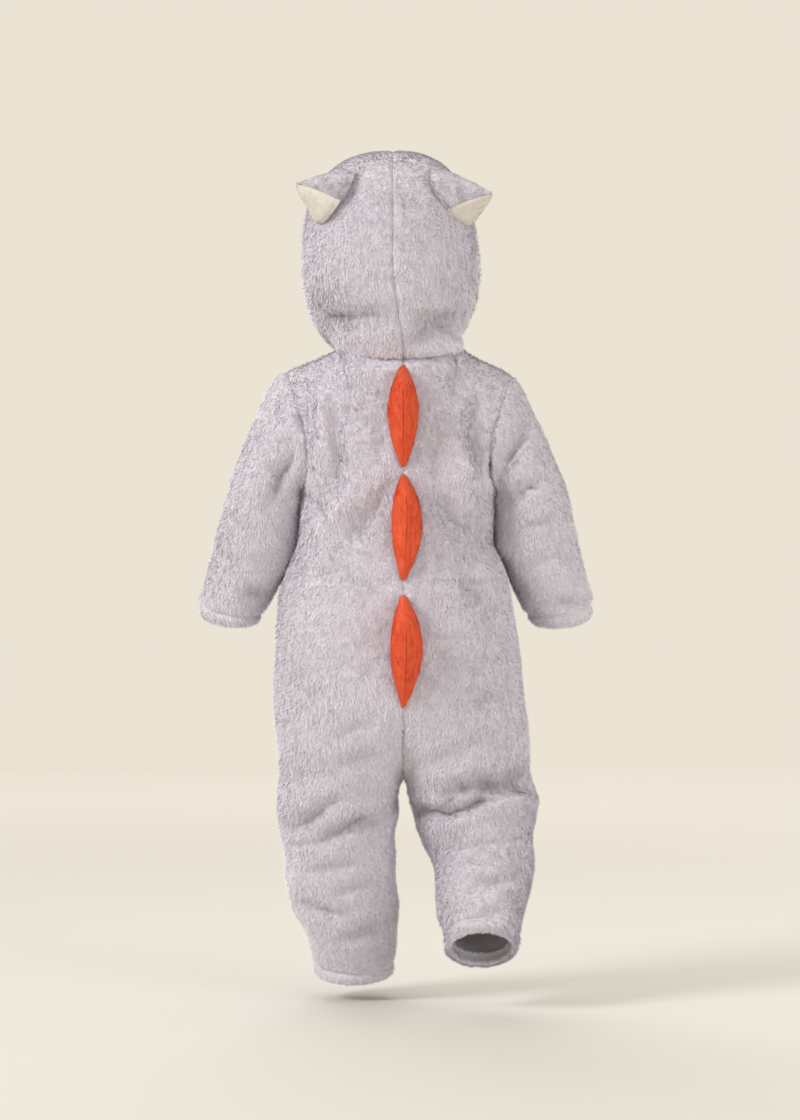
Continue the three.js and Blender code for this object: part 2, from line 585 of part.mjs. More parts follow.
// A front or back of the suit, kept half a seam's gap from its neighbours: the bodice above the
// waist, the hips below it and the leg.
function bodyPanels(side, face) {
  const rows = LEGS[side];
  const legLength = CROTCH_Z - rows[rows.length - 1].z;
  const neckColumns = NECK_TURNS.map((turn) => 2 * NECK.share * turn);
  const columns = [...neckColumns, ...SHOULDER_COLUMNS];
  const stations = [
    ...YOKE_ROWS,
    ...spread(1, 1.42, 5),
    ...spread(WAIST, 1.92, 5),
    ...spread(2, 2.9, 6),
    3,
    ...spread(THIGH, 4 - (HEM.depth + 16) / legLength, 9),
    ...HEM_ROWS.map((fromEnd) => 4 - fromEnd / legLength),
  ];
  const wall = stations.map((down) => {
    const pairs = columns.map((across) => bodyWallPoints(side, face, across, down));
    const first = pairs[0];
    const last = pairs[pairs.length - 1];
    if (down > 3) pullBack(first, pairs[1]);
    if (down > 1) pullBack(last, pairs[pairs.length - 2]);
    for (const point of pairs.flat()) {
      const edge = centreEdge(face, point.z);
      if (side * point.x < edge) point.x = side * edge;
      if (down < 2 && face * point.y < HALF_GAP) point.y = face * HALF_GAP;
    }
    return pairs;
  });
  const [waist, thigh] = [WAIST, THIGH].map((down) => stations.indexOf(down));
  return {
    bodice: wallGeometry(cutWall(wall, 0, waist), false),
    hips: wallGeometry(cutWall(wall, waist, thigh), false),
    leg: wallGeometry(cutWall(wall, thigh, wall.length - 1), false),
  };
}

// The rows of a wall from one row to another, with half a seam's gap left at each cut.
function cutWall(wall, first, last) {
  const rows = wall.slice(first, last + 1).map((row) => row.map((pair) => pair.map((point) => point.clone())));
  const end = rows.length - 1;
  const narrow = (row, next) => row.forEach((pair, column) => pullBack(pair, next[column]));
  if (first > 0) narrow(rows[0], rows[1]);
  if (last < wall.length - 1) narrow(rows[end], rows[end - 1]);
  return rows;
}

// Moves the pair of points on an edge half a seam's gap towards the next pair.
function pullBack(pair, next) {
  pair.forEach((point, layer) => {
    const way = next[layer].clone().sub(point).normalize();
    point.addScaledVector(way, HALF_GAP);
  });
}

// The pair of points where a sleeve starts: the armhole edge's own pair, moved clear of the seam.
function sleeveStart(side, turn) {
  const face = turn <= 0.5 ? BACK : FRONT;
  const down = 1 - (turn <= 0.5 ? turn : 1 - turn) * 2;
  const pair = bodyWallPoints(side, face, 1, down);
  const near = 0.004;
  const above = bodyPoint(side, face, 1, Math.max(down - near, 0));
  const alongEdge = bodyPoint(side, face, 1, Math.min(down + near, 1)).sub(above);
  const throughWall = pair[0].clone().sub(pair[1]);
  const away = alongEdge.cross(throughWall).normalize();
  if (side * away.x + away.z < 0) away.negate();
  return pair.map((point) => point.addScaledVector(away, SEAM_GAP));
}

function sleevePanel(side) {
  const length = 250; // about, along the sleeve's outer side
  const hemStations = HEM_ROWS.map((fromEnd) => 1 - fromEnd / length);
  const stations = [...spread(0.08, 1 - (HEM.depth + 14) / length, 12), ...hemStations];
  const upTurns = YOKE_ROWS.slice(1).map((down) => (1 - down) / 2);
  const turns = [0, ...upTurns.slice().reverse(), 0.5, ...upTurns.map((turn) => 1 - turn)];
  const start = turns.map((turn) => sleeveStart(side, turn));
  const wall = stations.map((down) =>
    turns.map((turn, j) => {
      const [outer, inner] = wallPoints({
        surface: (a, d) => sleevePoint(side, a, Math.min(d, 1)),
        heart: (d) => sleeveHeart(side, d),
        across: turn,
        down,
        fromEnd: (1 - down) * length,
      });
      const fromSeam = start[j][1].clone().sub(start[j][0]);
      const through = inner.sub(outer).lerp(fromSeam, 1 - ease(down, 0, 0.24)).setLength(WALL);
      return [outer, outer.clone().add(through)];
    }),
  );
  return wallGeometry([start, ...wall], true);
}

function hoodPanel(side) {
  const columns = [...NECK_TURNS, ...NECK_TURNS.slice(0, -1).reverse().map((turn) => 1 - turn)];
  const stations = [0, 0.06, ...spread(0.13, 1, 12)];
  const wall = stations.map((up) =>
    columns.map((across) => {
      const pair = wallPoints({
        surface: (a, d) => hoodPoint(side, a, Math.min(d, 1)),
        heart: hoodMiddle,
        across,
        down: up,
        level: up === 0,
      });
      for (const point of pair) {
        const edge = hoodCentreX(point.z) + side * HALF_GAP;
        if (across === 0 || side * (point.x - edge) < 0) point.x = edge;
      }
      return pair;
    }),
  );
  return wallGeometry(wall, false);
}

// The soft band round the face opening, which stands proud of the hood.
function hoodBand() {
  const section = [[-3.6, 0], [3, 0], [6, 4], [6.5, 10], [3.5, 15], [-1, 16], [-3.6, 12]];
  const startsAt = 34;
  const outlines = spread(startsAt, 360 - startsAt, 34).map((degrees) => {
    const side = degrees < 180 ? LEFT : RIGHT;
    const angle = degrees < 180 ? degrees : 360 - degrees;
    const onSide = angle < FACE.corner;
    const across = onSide ? 1 : (180 - angle) / (180 - FACE.corner);
    const rim = hoodPoint(side, across, onSide ? angle / FACE.corner : 1);
    const outward = rim.clone().sub(hoodMiddle()).setY(0).normalize();
    const flare = side === RIGHT ? mix(1, 1.9, Math.sin(radians(angle)) ** 2) : 1;
    const fade = ease(angle, 20, 70);
    return section.map(([out, ahead]) => {
      const proud = out > 0 ? out * mix(0.3, flare, fade) : out;
      return rim.clone().addScaledVector(outward, proud).add(vector(0, -SEAM_GAP - ahead, 0));
    });
  });
  return loftGeometry(outlines);
}

// Half of a stuffed fin, on one side of its ridge seam, sewn along the centre back.
function finHalf(fin, side) {
  const outlines = spread(0.015, 0.985, 11).map((share) => {
    const z = mix(fin.top, fin.bottom, share);
    const taper = Math.sin(Math.PI * share ** 0.92);
    const half = Math.max(0.8, fin.half * taper ** 0.85);
    const rise = share < fin.apex ? share / fin.apex : (1 - share) / (1 - fin.apex);
    const high = Math.max(1, fin.high * rise ** 0.9);
    const base = centreLine(BACK, z) + 0.6;
    const lean = fin.lean * taper;
    const profile = [[0, 0], [1, 0], [0.94, 0.3], [0.7, 0.62], [0.34, 0.88], [0, 1]];
    return profile.map(([out, up]) => {
      const x = side * Math.max(HALF_GAP, half * out) + lean;
      return vector(x, base + high * up, z + high * up * 0.12);
    });
  });
  return loftGeometry(outlines);
}

// The upper or the under half of a stuffed ear, cut to sit on the hood.
function earHalf(side, upper) {
  const ear = EARS[side];
  const top = onHood(ear.topX, ear.topZ);
  const low = onHood(ear.lowX, ear.lowZ);
  const base = onHood((ear.topX + ear.lowX) / 2, (ear.topZ + ear.lowZ) / 2);
  const tip = vector(...ear.tip);
  const rising = top.clone().sub(low);
  const halfHigh = rising.length() / 2;
  rising.normalize();
  const sideways = tip.clone().sub(base).cross(rising).normalize();
  const turns = spread(0, Math.PI, 8).map((angle) => (upper ? angle : -angle));
  const split = (upper ? 1 : -1) * HALF_GAP;
  const taper = upper ? { bend: 1.1, round: 0.95 } : { bend: 1.25, round: 0.8 };
  const outlines = [-0.5, -0.2, 0.05, 0.25, 0.45, 0.64, 0.82, 0.94, 1].map((share) => {
    const size = Math.max(0.07, (1 - Math.max(share, 0) ** taper.bend) ** taper.round);
    const middle = base.clone().lerp(tip, share);
    middle.addScaledVector(rising, 1.5 * Math.sin(Math.PI * Math.max(share, 0)));
    return turns.map((angle) => {
      const high = halfHigh * size * Math.sin(angle) + split;
      const wide = ear.deep * size * Math.cos(angle);
      return middle.clone().addScaledVector(rising, high).addScaledVector(sideways, wide);
    });
  });
  return combine(loftGeometry(outlines), "subtract", hoodForm(EAR_SEAT));
}

// The point of the hood's form that is seen at (x, z) from behind.
function onHood(x, z) {
  const half = x > HOOD.x ? HOOD.left : HOOD.right;
  const n = HOOD.squareness;
  const room = 1 - Math.abs((x - HOOD.x) / half) ** n - Math.abs((z - HOOD.z) / HOOD.high) ** n;
  return vector(x, HOOD.y + HOOD.deep * Math.max(room, 0) ** (1 / n), z);
}

// The hood's whole form, grown by a clearance.
function hoodForm(clearance) {
  const geometry = new THREE.SphereGeometry(1, 72, 48);
  const place = geometry.getAttribute("position");
  for (let i = 0; i < place.count; i++) {
    const direction = new THREE.Vector3().fromBufferAttribute(place, i).normalize();
    const point = hoodMiddle().addScaledVector(direction, hoodRadius(direction) + clearance);
    place.setXYZ(i, point.x, point.y, point.z);
  }
  return geometry;
}

// ---------------------------------------------------------------- the zip
function zipTape(side) {
  const outlines = spread(ZIP.top, ZIP.bottom, 22).map((z) => {
    const face = centreLine(FRONT, z) + ZIP.recess;
    const [near, far] = [side * HALF_GAP, side * (ZIP.half - SEAM_GAP)];
    const back = face + ZIP.thick;
    return [vector(near, face, z), vector(far, face, z), vector(far, back, z), vector(near, back, z)];
  });
  return loftGeometry(outlines);
}

// The zip's slider and pull are built upright and then laid against the front.
function onZip(geometry) {
  const front = centreLine(FRONT, SLIDER.z) + ZIP.recess - SLIDER.lift;
  geometry.rotateX(-radians(SLIDER.tilt));
  return geometry.translate(0, front, SLIDER.z);
}

function box(wide, deep, high, x, y, z) {
  return new THREE.BoxGeometry(wide, deep, high).translate(x, y, z);
}

function rod(radius, long, y) {
  return new THREE.CylinderGeometry(radius, radius, long, 24).rotateZ(QUARTER_TURN).translate(0, y, 0);
}

// The slider: a plate with two cheeks and the pin that the pull turns on.
function slider() {
  const plate = box(SLIDER.wide, SLIDER.thick, SLIDER.high, 0, -SLIDER.thick / 2, 0);
  const reach = SLIDER.thick / 2 + PULL.ring + 1.6;
  const cheekX = SLIDER.wide / 2 - SLIDER.cheek / 2;
  const cheekY = -SLIDER.thick / 2 - reach / 2;
  const cheeks = [LEFT, RIGHT].map((side) => box(SLIDER.cheek, reach, 4, side * cheekX, cheekY, 0));
  const pin = rod(PULL.pin, SLIDER.wide - SLIDER.cheek, -SLIDER.pinOut);
  return [...cheeks, pin].reduce((whole, piece) => combine(whole, "add", piece), plate);
}

// The pull: a flat tab with a ring at its top end that turns on the slider's pin.
function pull() {
  const wide = SLIDER.wide - 2 * SLIDER.cheek - 2 * SEAM_GAP;
  const shape = new THREE.Shape();
  shape.moveTo(-wide / 2, 0);
  shape.lineTo(wide / 2, 0);
  shape.lineTo(PULL.wide / 2, -PULL.long * 0.45);
  shape.lineTo(PULL.wide / 2, -PULL.long + PULL.wide / 2);
  shape.absarc(0, -PULL.long + PULL.wide / 2, PULL.wide / 2, 0, -Math.PI, true);
  shape.lineTo(-PULL.wide / 2, -PULL.long * 0.45);
  shape.closePath();
  const tab = new THREE.ExtrudeGeometry(shape, { depth: PULL.thick, bevelEnabled: false, curveSegments: 12 });
  tab.rotateX(QUARTER_TURN).translate(0, -SLIDER.pinOut + PULL.thick / 2, 0);
  const ringed = combine(tab, "add", rod(PULL.ring, wide, -SLIDER.pinOut));
  return combine(ringed, "subtract", rod(PULL.pin + SEAM_GAP, wide + 2, -SLIDER.pinOut));
}

for (const side of [LEFT, RIGHT]) {
  const name = sideName(side);
  for (const [word, face] of [["back", BACK], ["front", FRONT]]) {
    for (const [part, geometry] of Object.entries(bodyPanels(side, face))) {
      addPiece(`${part}_${word}_${name}`, geometry, "plush");
    }
  }
  addPiece(`sleeve_${name}`, sleevePanel(side), "plush");
  addPiece(`hood_${name}`, hoodPanel(side), "plush");
  addPiece(`ear_${name}_upper`, earHalf(side, true), "plush");
  addPiece(`ear_${name}_under`, earHalf(side, false), "cream");
  addPiece(`zip_tape_${name}`, zipTape(side), "plush");
  for (const fin of FINS) addPiece(`fin_${fin.name}_${name}`, finHalf(fin, side), "orange");
}
addPiece("hood_band", hoodBand(), "band");
addPiece("zip_slider", onZip(slider()), "metal", 0.9);
addPiece("zip_pull", onZip(pull()), "metal", 0.9);

export default garment;
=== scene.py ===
"""The hooded plush monster suit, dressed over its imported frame. Metres, +Z up, -Y the front."""

import math

import bmesh
import bpy
import numpy as np
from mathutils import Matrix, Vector


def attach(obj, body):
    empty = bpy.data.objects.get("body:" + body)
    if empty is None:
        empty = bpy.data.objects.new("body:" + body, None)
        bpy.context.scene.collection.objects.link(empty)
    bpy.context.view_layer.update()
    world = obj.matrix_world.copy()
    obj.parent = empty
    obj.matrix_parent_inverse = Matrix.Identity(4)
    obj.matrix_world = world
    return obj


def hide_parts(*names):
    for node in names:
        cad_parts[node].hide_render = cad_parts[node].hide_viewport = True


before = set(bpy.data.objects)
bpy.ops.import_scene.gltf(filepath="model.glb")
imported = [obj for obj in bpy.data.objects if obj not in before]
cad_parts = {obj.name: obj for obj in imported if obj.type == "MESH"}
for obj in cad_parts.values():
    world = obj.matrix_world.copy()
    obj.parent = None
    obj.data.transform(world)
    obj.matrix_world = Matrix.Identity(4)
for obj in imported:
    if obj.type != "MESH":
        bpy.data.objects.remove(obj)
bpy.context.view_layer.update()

MM = 0.001
LEFT, RIGHT = 1, -1
BACK, FRONT = 1, -1
NAMES = {LEFT: "left", RIGHT: "right"}
BODY = "suit"

# ------------------------------------------------------------------ the garment's form, in mm
UNDERARM_Z, SEAT_TOP_Z, CROTCH_Z = -122, -300, -393
SQUARE = 2.4
TRUNK = dict(
    z=[-122, -150, -170, -188, -210, -240, -270, -305, -341, -393],
    left=[97, 100, 101, 107, 116, 121, 123, 125, 125, 119],
    right=[89, 87, 85, 93, 101, 106, 111, 115, 119, 123],
    back=[64, 66, 68, 70, 73, 76, 80, 83, 83, 80],
    front=[66, 71, 75, 78, 80, 81, 81, 80, 78, 74],
)
LEGS = {
    LEFT: dict(
        z=[-393, -415, -434, -450, -470, -500, -524, -545, -566, -590],
        x=[60.5, 62.5, 62.5, 63.5, 61.5, 60, 56, 51, 48, 47.5],
        y=[0, -4, -8, -11, -15, -21, -27, -32, -37, -43],
        wide=[59, 58.5, 59, 55.5, 54, 53.5, 52.5, 46, 42, 38],
        deep=[70, 67, 64, 61, 58, 56, 54, 49, 44, 40],
        swing=[0, -5, -8, -9, -10, -11, -12, -13, -13, -14],
    ),
    RIGHT: dict(
        z=[-393, -415, -436, -458, -480, -502, -522, -540, -556],
        x=[-62, -67, -69, -71, -77, -76, -73, -74, -73],
        y=[2, 0, 0, 5, 15, 28, 42, 55, 67],
        wide=[60.5, 63.5, 60, 54, 49, 46.5, 42.5, 38, 35],
        deep=[69, 66, 62, 56, 51, 47, 44, 40, 37],
        swing=[0, 2, 8, 18, 28, 34, 36, 36, 36],
    ),
}
NECK = dict(x=4, half=60, back=43, front=47, backZ=0, sideZ=12, frontZ=-11, share=0.4)
SHOULDER_TIP = {LEFT: (115, -8), RIGHT: (-107, -12)}
ARMHOLE_DEPTH, ARMHOLE_INSET = 44, 26
SLEEVES = {
    LEFT: dict(
        at=[0, 0.08, 0.17, 0.26, 0.36, 0.46, 0.6, 0.74, 0.87, 0.95, 1],
        outX=[115, 127, 138, 148, 157, 166, 174, 182, 191, 198, 194],
        outZ=[-8, -18, -41, -64, -88, -112, -143, -174, -207, -229, -246],
        inX=[97, 98, 99, 100.5, 102, 103, 105, 112, 124, 134, 142],
        inZ=[-122, -123.5, -126, -130, -137, -149, -172, -197, -224, -240, -251],
        y=[0, -1, -3, -5, -7, -9, -13, -17, -22, -25, -28],
        deep=[46, 47, 47, 46, 45, 43, 41, 39, 37, 33, 28],
        swing=[0, 0, -3, -5, -7, -9, -11, -12, -13, -14, -14],
    ),
    RIGHT: dict(
        at=[0, 0.08, 0.17, 0.26, 0.36, 0.46, 0.6, 0.74, 0.87, 0.95, 1],
        outX=[-107, -117, -127, -138, -147, -157, -164, -170, -177, -184, -179],
        outZ=[-12, -26, -48, -70, -95, -118, -147, -178, -206, -230, -247],
        inX=[-89, -90, -91, -91.5, -92, -92, -92, -97, -108, -117, -127],
        inZ=[-122, -123.5, -126, -130, -137, -150, -172, -196, -222, -240, -252],
        y=[0, -1, -3, -5, -7, -9, -13, -17, -21, -24, -27],
        deep=[46, 47, 47, 46, 45, 43, 41, 39, 37, 33, 28],
        swing=[0, 0, -3, -5, -7, -9, -11, -12, -13, -14, -14],
    ),
}
SLEEVE_CLEAR, SLEEVE_BLEND, SLEEVE_LENGTH = 2, 0.4, 250
SLEEVE_TOUCHES_TO = {LEFT: -202, RIGHT: -182}  # the arm lies against the trunk down to here
HOOD = dict(x=10, y=-8, z=100, left=87, right=80, deep=92, high=103, square=2.5)
FACE = dict(forward=46, half=74, up=88, down=110, corner=138)
HOOD_EASE = 0.22
HEM = dict(depth=11, groove=2.4, roll=1.2, tuck=2.4, thick=3.0, round=3.2)
ZIP = dict(top=-15, bottom=-305, half=4, recess=0.8)
FINS = {
    "upper": dict(top=-5, bottom=-104, half=14, apex=0.28, lean=0, high=42),
    "middle": dict(top=-108, bottom=-211, half=14, apex=0.24, lean=-3.5, high=42),
    "lower": dict(top=-221, bottom=-330, half=14.5, apex=0.32, lean=-3, high=42),
}
EARS = {
    LEFT: dict(top=(53, 177), low=(83, 129), tip=(100, 70, 163), deep=19),
    RIGHT: dict(top=(-32, 176), low=(-66, 129), tip=(-83, 64, 155), deep=19),
}

# Creases: face, x1, z1, x2, z2, half-width and height (a trough is negative).
CREASES = [
    (BACK, 62, -52, 66, -112, 9, -4),
    (BACK, 80, -30, 72, -98, 8, 3),
    (BACK, -70, -34, -77, -112, 9, -3.6),
    (BACK, -52, -48, -60, -128, 10, 3),
    (BACK, 14, -112, 60, -176, 13, -4.4),
    (BACK, 10, -96, 46, -150, 10, 2),
    (BACK, 40, -122, 84, -158, 11, 3),
    (BACK, 92, -128, 70, -150, 8, -4),
    (BACK, -22, -128, -76, -172, 12, -4),
    (BACK, -60, -205, -84, -236, 12, -4),
    (BACK, 34, -373, 70, -384, 9, -3),
    (BACK, 70, -384, 112, -391, 9, -2.5),
    (BACK, -20, -380, -64, -367, 10, -2.5),
    (BACK, 112, -443, 66, -425, 13, -6),
    (BACK, 102, -424, 62, -408, 10, 2.5),
    (BACK, 88, -460, 14, -435, 13, -6.5),
    (BACK, 80, -442, 18, -419, 10, 2),
    (BACK, 100, -520, 62, -528, 9, -4),
    (BACK, 60, -552, 14, -540, 9, -4),
    (BACK, -34, -420, -62, -409, 13, -9),
    (BACK, -62, -409, -110, -401, 14, -10.5),
    (BACK, -110, -401, -128, -407, 12, -8),
    (BACK, -40, -392, -108, -380, 14, 2.5),
    (BACK, -6, -430, -34, -438, 8, -8),
    (BACK, -34, -438, -86, -418, 8, -8),
    (BACK, -22, -418, -64, -412, 9, 4.5),
    (BACK, -58, -500, -108, -486, 9, -3),
    (FRONT, 58, -60, 70, -116, 10, -4),
    (FRONT, -56, -58, -66, -118, 10, -4),
    (FRONT, 34, -150, 88, -178, 12, -4),
    (FRONT, -36, -156, -76, -182, 12, -4),
    (FRONT, 26, -352, 96, -372, 11, -6),
    (FRONT, -26, -356, -98, -366, 11, -5),
    (FRONT, 98, -446, 30, -462, 10, -4),
    (FRONT, 92, -530, 30, -544, 9, -5),
    (FRONT, -40, -520, -104, -506, 9, -4),
    (BACK, 118, -132, 104, -96, 8, -5),
    (BACK, 150, -222, 128, -226, 8, -4),
    (BACK, -118, -62, -98, -104, 8, -6),
    (BACK, -132, -118, -100, -130, 8, -5),
    (BACK, -172, -226, -140, -234, 7, -3),
    (FRONT, 120, -140, 152, -128, 9, -4),
    (FRONT, 132, -176, 168, -166, 9, -4),
    (FRONT, -112, -146, -144, -132, 9, -4),
    (FRONT, -124, -184, -158, -170, 9, -4),
    (BACK, 92, 32, 14, 38, 15, -3.9),
    (BACK, 66, 20, 10, 24, 9, 2.5),
    (BACK, -6, 35, -34, 40, 9, -3),
    (BACK, -4, 10, -64, 48, 13, -4.0),
    (BACK, -34, 8, -66, 24, 9, 2.5),
    (BACK, 58, 8, -50, 8, 10, 3),
    (BACK, 52, -9, -44, -9, 9, 2.5),
]
FOLD_GAIN = 1.75  # how much deeper the cloth's folds are than their tables say
DEEP_FOLD = -4.5  # a trough lower than this is a deep fold
# Finer creases that only the cloth shows.
FINE_CREASES = [
    (BACK, 24, -60, 20, -108, 6, -1.2),
    (BACK, -30, -70, -34, -120, 6, -1.2),
    (BACK, 96, -206, 60, -196, 8, -1.8),
    (BACK, -70, -186, -36, -196, 8, -1.6),
    (BACK, 112, -300, 70, -318, 9, -1.6),
    (BACK, -104, -310, -64, -326, 9, -1.6),
    (BACK, 30, -340, 66, -356, 8, -1.6),
    (BACK, 44, -478, 90, -488, 7, -1.8),
    (BACK, 24, -500, 70, -506, 7, -1.6),
    (BACK, -50, -462, -100, -450, 6, -2.2),
    (BACK, -58, -476, -92, -476, 6, -1.6),
    (BACK, -60, -524, -96, -516, 6, -1.4),
    (FRONT, 84, -210, 40, -198, 8, -1.8),
    (FRONT, -80, -214, -36, -202, 8, -1.8),
    (FRONT, 100, -300, 54, -286, 9, -1.6),
    (FRONT, -98, -296, -50, -284, 9, -1.6),
    (FRONT, 96, -412, 40, -424, 8, -2.4),
    (FRONT, 84, -490, 36, -496, 8, -2),
    (FRONT, -36, -410, -92, -402, 8, -2),
    (FRONT, -46, -468, -98, -452, 8, -2.2),
    (BACK, 132, -88, 114, -110, 6, -1.8),
    (BACK, 166, -150, 132, -168, 7, -1.8),
    (BACK, 172, -184, 130, -196, 7, -1.8),
    (BACK, -150, -150, -108, -162, 7, -1.8),
    (BACK, -158, -184, -114, -194, 7, -1.8),
    (FRONT, 134, -92, 112, -116, 7, -2),
    (FRONT, -124, -92, -104, -116, 7, -2),
    (BACK, 112, -209, 20, -211, 4, -1.0),
    (BACK, -14, -211, -98, -208, 4, -1.0),
    (FRONT, 112, -209, 8, -211, 4, -1.0),
    (FRONT, -8, -211, -98, -208, 4, -1.0),
    (BACK, 78, 32, 22, 36, 5, -1.5),
    (BACK, -14, 16, -56, 43, 5, -1.8),
    (BACK, -30, 30, -62, 22, 6, -1.6),
    (BACK, 70, 62, 88, 40, 7, -1.6),
]


def ease(value, low, high):
    share = np.clip((value - low) / (high - low), 0, 1)
    return share * share * (3 - 2 * share)


def mix(a, b, share):
    return a + (b - a) * share


def column(table, along, name, at):
    """One column of a table at places along another, on a smooth curve through the rows."""
    t, v = np.asarray(table[along], float), np.asarray(table[name], float)
    slope = np.gradient(v)
    slope[1:-1] = (v[2:] - v[:-2]) / (t[2:] - t[:-2])
    slope[0], slope[-1] = (v[1] - v[0]) / (t[1] - t[0]), (v[-1] - v[-2]) / (t[-1] - t[-2])
    at = np.asarray(at, float)
    sense = np.sign(t[-1] - t[0])
    i = np.clip(np.searchsorted(sense * t, sense * at, side="left") - 1, 0, len(t) - 2)
    step = t[i + 1] - t[i]
    f = np.clip((at - t[i]) / step, 0, 1)
    bend = f * (1 - f) * step * ((1 - f) * slope[i] - f * slope[i + 1])
    return mix(v[i], v[i + 1], f * f * (3 - 2 * f)) + bend


def stack(x, y, z):
    return np.stack(np.broadcast_arrays(x, y, z), -1).astype(float)


def length(v):
    return np.linalg.norm(v, axis=-1, keepdims=True)


def unit(v):
    return v / np.maximum(length(v), 1e-9)


def trunk_point(side, z, turn):
    across, along = np.sin(np.pi * turn), np.cos(np.pi * turn)
    half = column(TRUNK, "z", NAMES[side], z)
    deep = np.where(along > 0, column(TRUNK, "z", "back", z), column(TRUNK, "z", "front", z))
    radius = (np.abs(across / half) ** SQUARE + np.abs(along / deep) ** SQUARE) ** (-1 / SQUARE)
    return stack(side * radius * across, radius * along, z)


def trunk_half(side, y, z):
    """The trunk's half-width beside a place."""
    deep = np.where(y > 0, column(TRUNK, "z", "back", z), column(TRUNK, "z", "front", z))
    room = np.clip(1 - np.abs(y / deep) ** SQUARE, 0, 1)
    return column(TRUNK, "z", NAMES[side], z) * room ** (1 / SQUARE)


def leg_point(side, z, turn):
    table = LEGS[side]
    angle = 2 * np.pi * turn
    back = column(table, "z", "deep", z) * np.sin(angle)
    swing = np.radians(column(table, "z", "swing", z))
    x = column(table, "z", "x", z) - side * column(table, "z", "wide", z) * np.cos(angle)
    return stack(x, column(table, "z", "y", z) + back * np.cos(swing), z + back * np.sin(swing))


def neck_point(side, turn):
    across, along = np.sin(np.pi * turn), np.cos(np.pi * turn)
    end_z = np.where(along > 0, NECK["backZ"], NECK["frontZ"])
    deep = np.where(along > 0, NECK["back"], NECK["front"])
    half = NECK["half"] + side * NECK["x"]
    return stack(side * half * across, deep * along, mix(end_z, NECK["sideZ"], across * across))


def panel_top(side, face, across):
    turn = np.clip(across / NECK["share"] / 2, -0.2, 0.5)
    on_neck = neck_point(side, turn if face == BACK else 1 - turn)
    share = ((across - NECK["share"]) / (1 - NECK["share"]))[..., None]
    neck = neck_point(side, np.array(0.5))
    tip = np.array([SHOULDER_TIP[side][0], 0, SHOULDER_TIP[side][1]], float)
    return np.where(share < 0, on_neck, mix(neck * [1, 0, 1], tip, share))


def yoke_point(side, face, across, rise):
    across = np.minimum(across, 1)
    turn = across / 2 if face == BACK else 1 - across / 2
    low = trunk_point(side, np.full_like(across, UNDERARM_Z), turn)
    top = panel_top(side, face, across)
    height = np.sin(rise * np.pi / 2)
    edge = across**4
    bow = 2.28 * np.sqrt(height) * np.clip(1 - height, 0, 1) ** 0.75
    inset = ARMHOLE_INSET * np.sqrt(height) * np.clip(1 - height, 0, 1) ** 1.5
    return stack(
        mix(low[..., 0], top[..., 0], rise) - side * inset * edge,
        mix(top[..., 1], low[..., 1], np.cos(rise * np.pi / 2)) + face * ARMHOLE_DEPTH * bow * edge,
        mix(low[..., 2], top[..., 2], height),
    )


def body_point(side, face, across, down):
    across, down = np.broadcast_arrays(np.asarray(across, float), np.asarray(down, float))
    turn = across / 2 if face == BACK else 1 - across / 2
    yoke = yoke_point(side, face, across, np.clip(1 - down, 0, 1))
    trunk = trunk_point(side, mix(UNDERARM_Z, SEAT_TOP_Z, np.clip(down - 1, 0, 1)), turn)
    angle = np.clip(down - 2, 0, 1) * np.pi / 2
    z = mix(SEAT_TOP_Z, CROTCH_Z, np.sin(angle))
    leg = leg_point(side, np.full_like(z, CROTCH_Z), turn)
    leg[..., 2] = z
    seat = mix(trunk_point(side, z, turn), leg, (1 - np.cos(angle))[..., None])
    low = leg_point(side, mix(CROTCH_Z, LEGS[side]["z"][-1], np.clip(down - 3, 0, 1)), turn)
    d = down[..., None]
    return np.where(d <= 1, yoke, np.where(d <= 2, trunk, np.where(d <= 3, seat, low)))


def centre_line(face, z):
    name = "back" if face == BACK else "front"
    height = np.clip((z - UNDERARM_Z) / (NECK[name + "Z"] - UNDERARM_Z), 0, 1)
    deep = column(TRUNK, "z", name, UNDERARM_Z)
    upper = mix(NECK[name], deep, np.sqrt(1 - height * height))
    sink = np.clip((SEAT_TOP_Z - z) / (SEAT_TOP_Z - CROTCH_Z), 0, 1)
    lower = column(TRUNK, "z", name, z) * np.sqrt(1 - sink * sink)
    return face * np.where(z > UNDERARM_Z, upper, lower)


def armhole_point(side, turn):
    back = yoke_point(side, BACK, np.ones_like(turn), np.clip(turn * 2, 0, 1))
    front = yoke_point(side, FRONT, np.ones_like(turn), np.clip(2 - turn * 2, 0, 1))
    return np.where((turn <= 0.5)[..., None], back, front)


def sleeve_oval(side, turn, down):
    def value(name):
        return column(SLEEVES[side], "at", name, down)

    swing = np.radians(value("swing"))
    outward = 0.5 - 0.5 * np.cos(2 * np.pi * turn)
    back = value("deep") * np.sin(2 * np.pi * turn)
    return stack(
        mix(value("inX"), value("outX"), outward),
        value("y") + back * np.cos(swing),
        mix(value("inZ"), value("outZ"), outward) + back * np.sin(swing),
    )


def sleeve_point(side, turn, down):
    turn, down = np.broadcast_arrays(np.asarray(turn, float), np.asarray(down, float))
    ring = turn - np.floor(turn)
    down = np.clip(down, 0, 1)
    fade = (1 - ease(down, 0, SLEEVE_BLEND))[..., None]
    point = sleeve_oval(side, ring, down)
    point = point + (armhole_point(side, ring) - sleeve_oval(side, ring, np.zeros_like(down))) * fade
    x, y, z = point[..., 0] + side * 0.3, point[..., 1], point[..., 2]
    clear = trunk_half(side, y, z) + SLEEVE_CLEAR * ease(UNDERARM_Z - z, 0, 10)
    x = np.where((z < UNDERARM_Z) & (side * x < clear), side * clear, x)
    return stack(x, y, z)


HOOD_MIDDLE = np.array([HOOD["x"], HOOD["y"], HOOD["z"]], float)


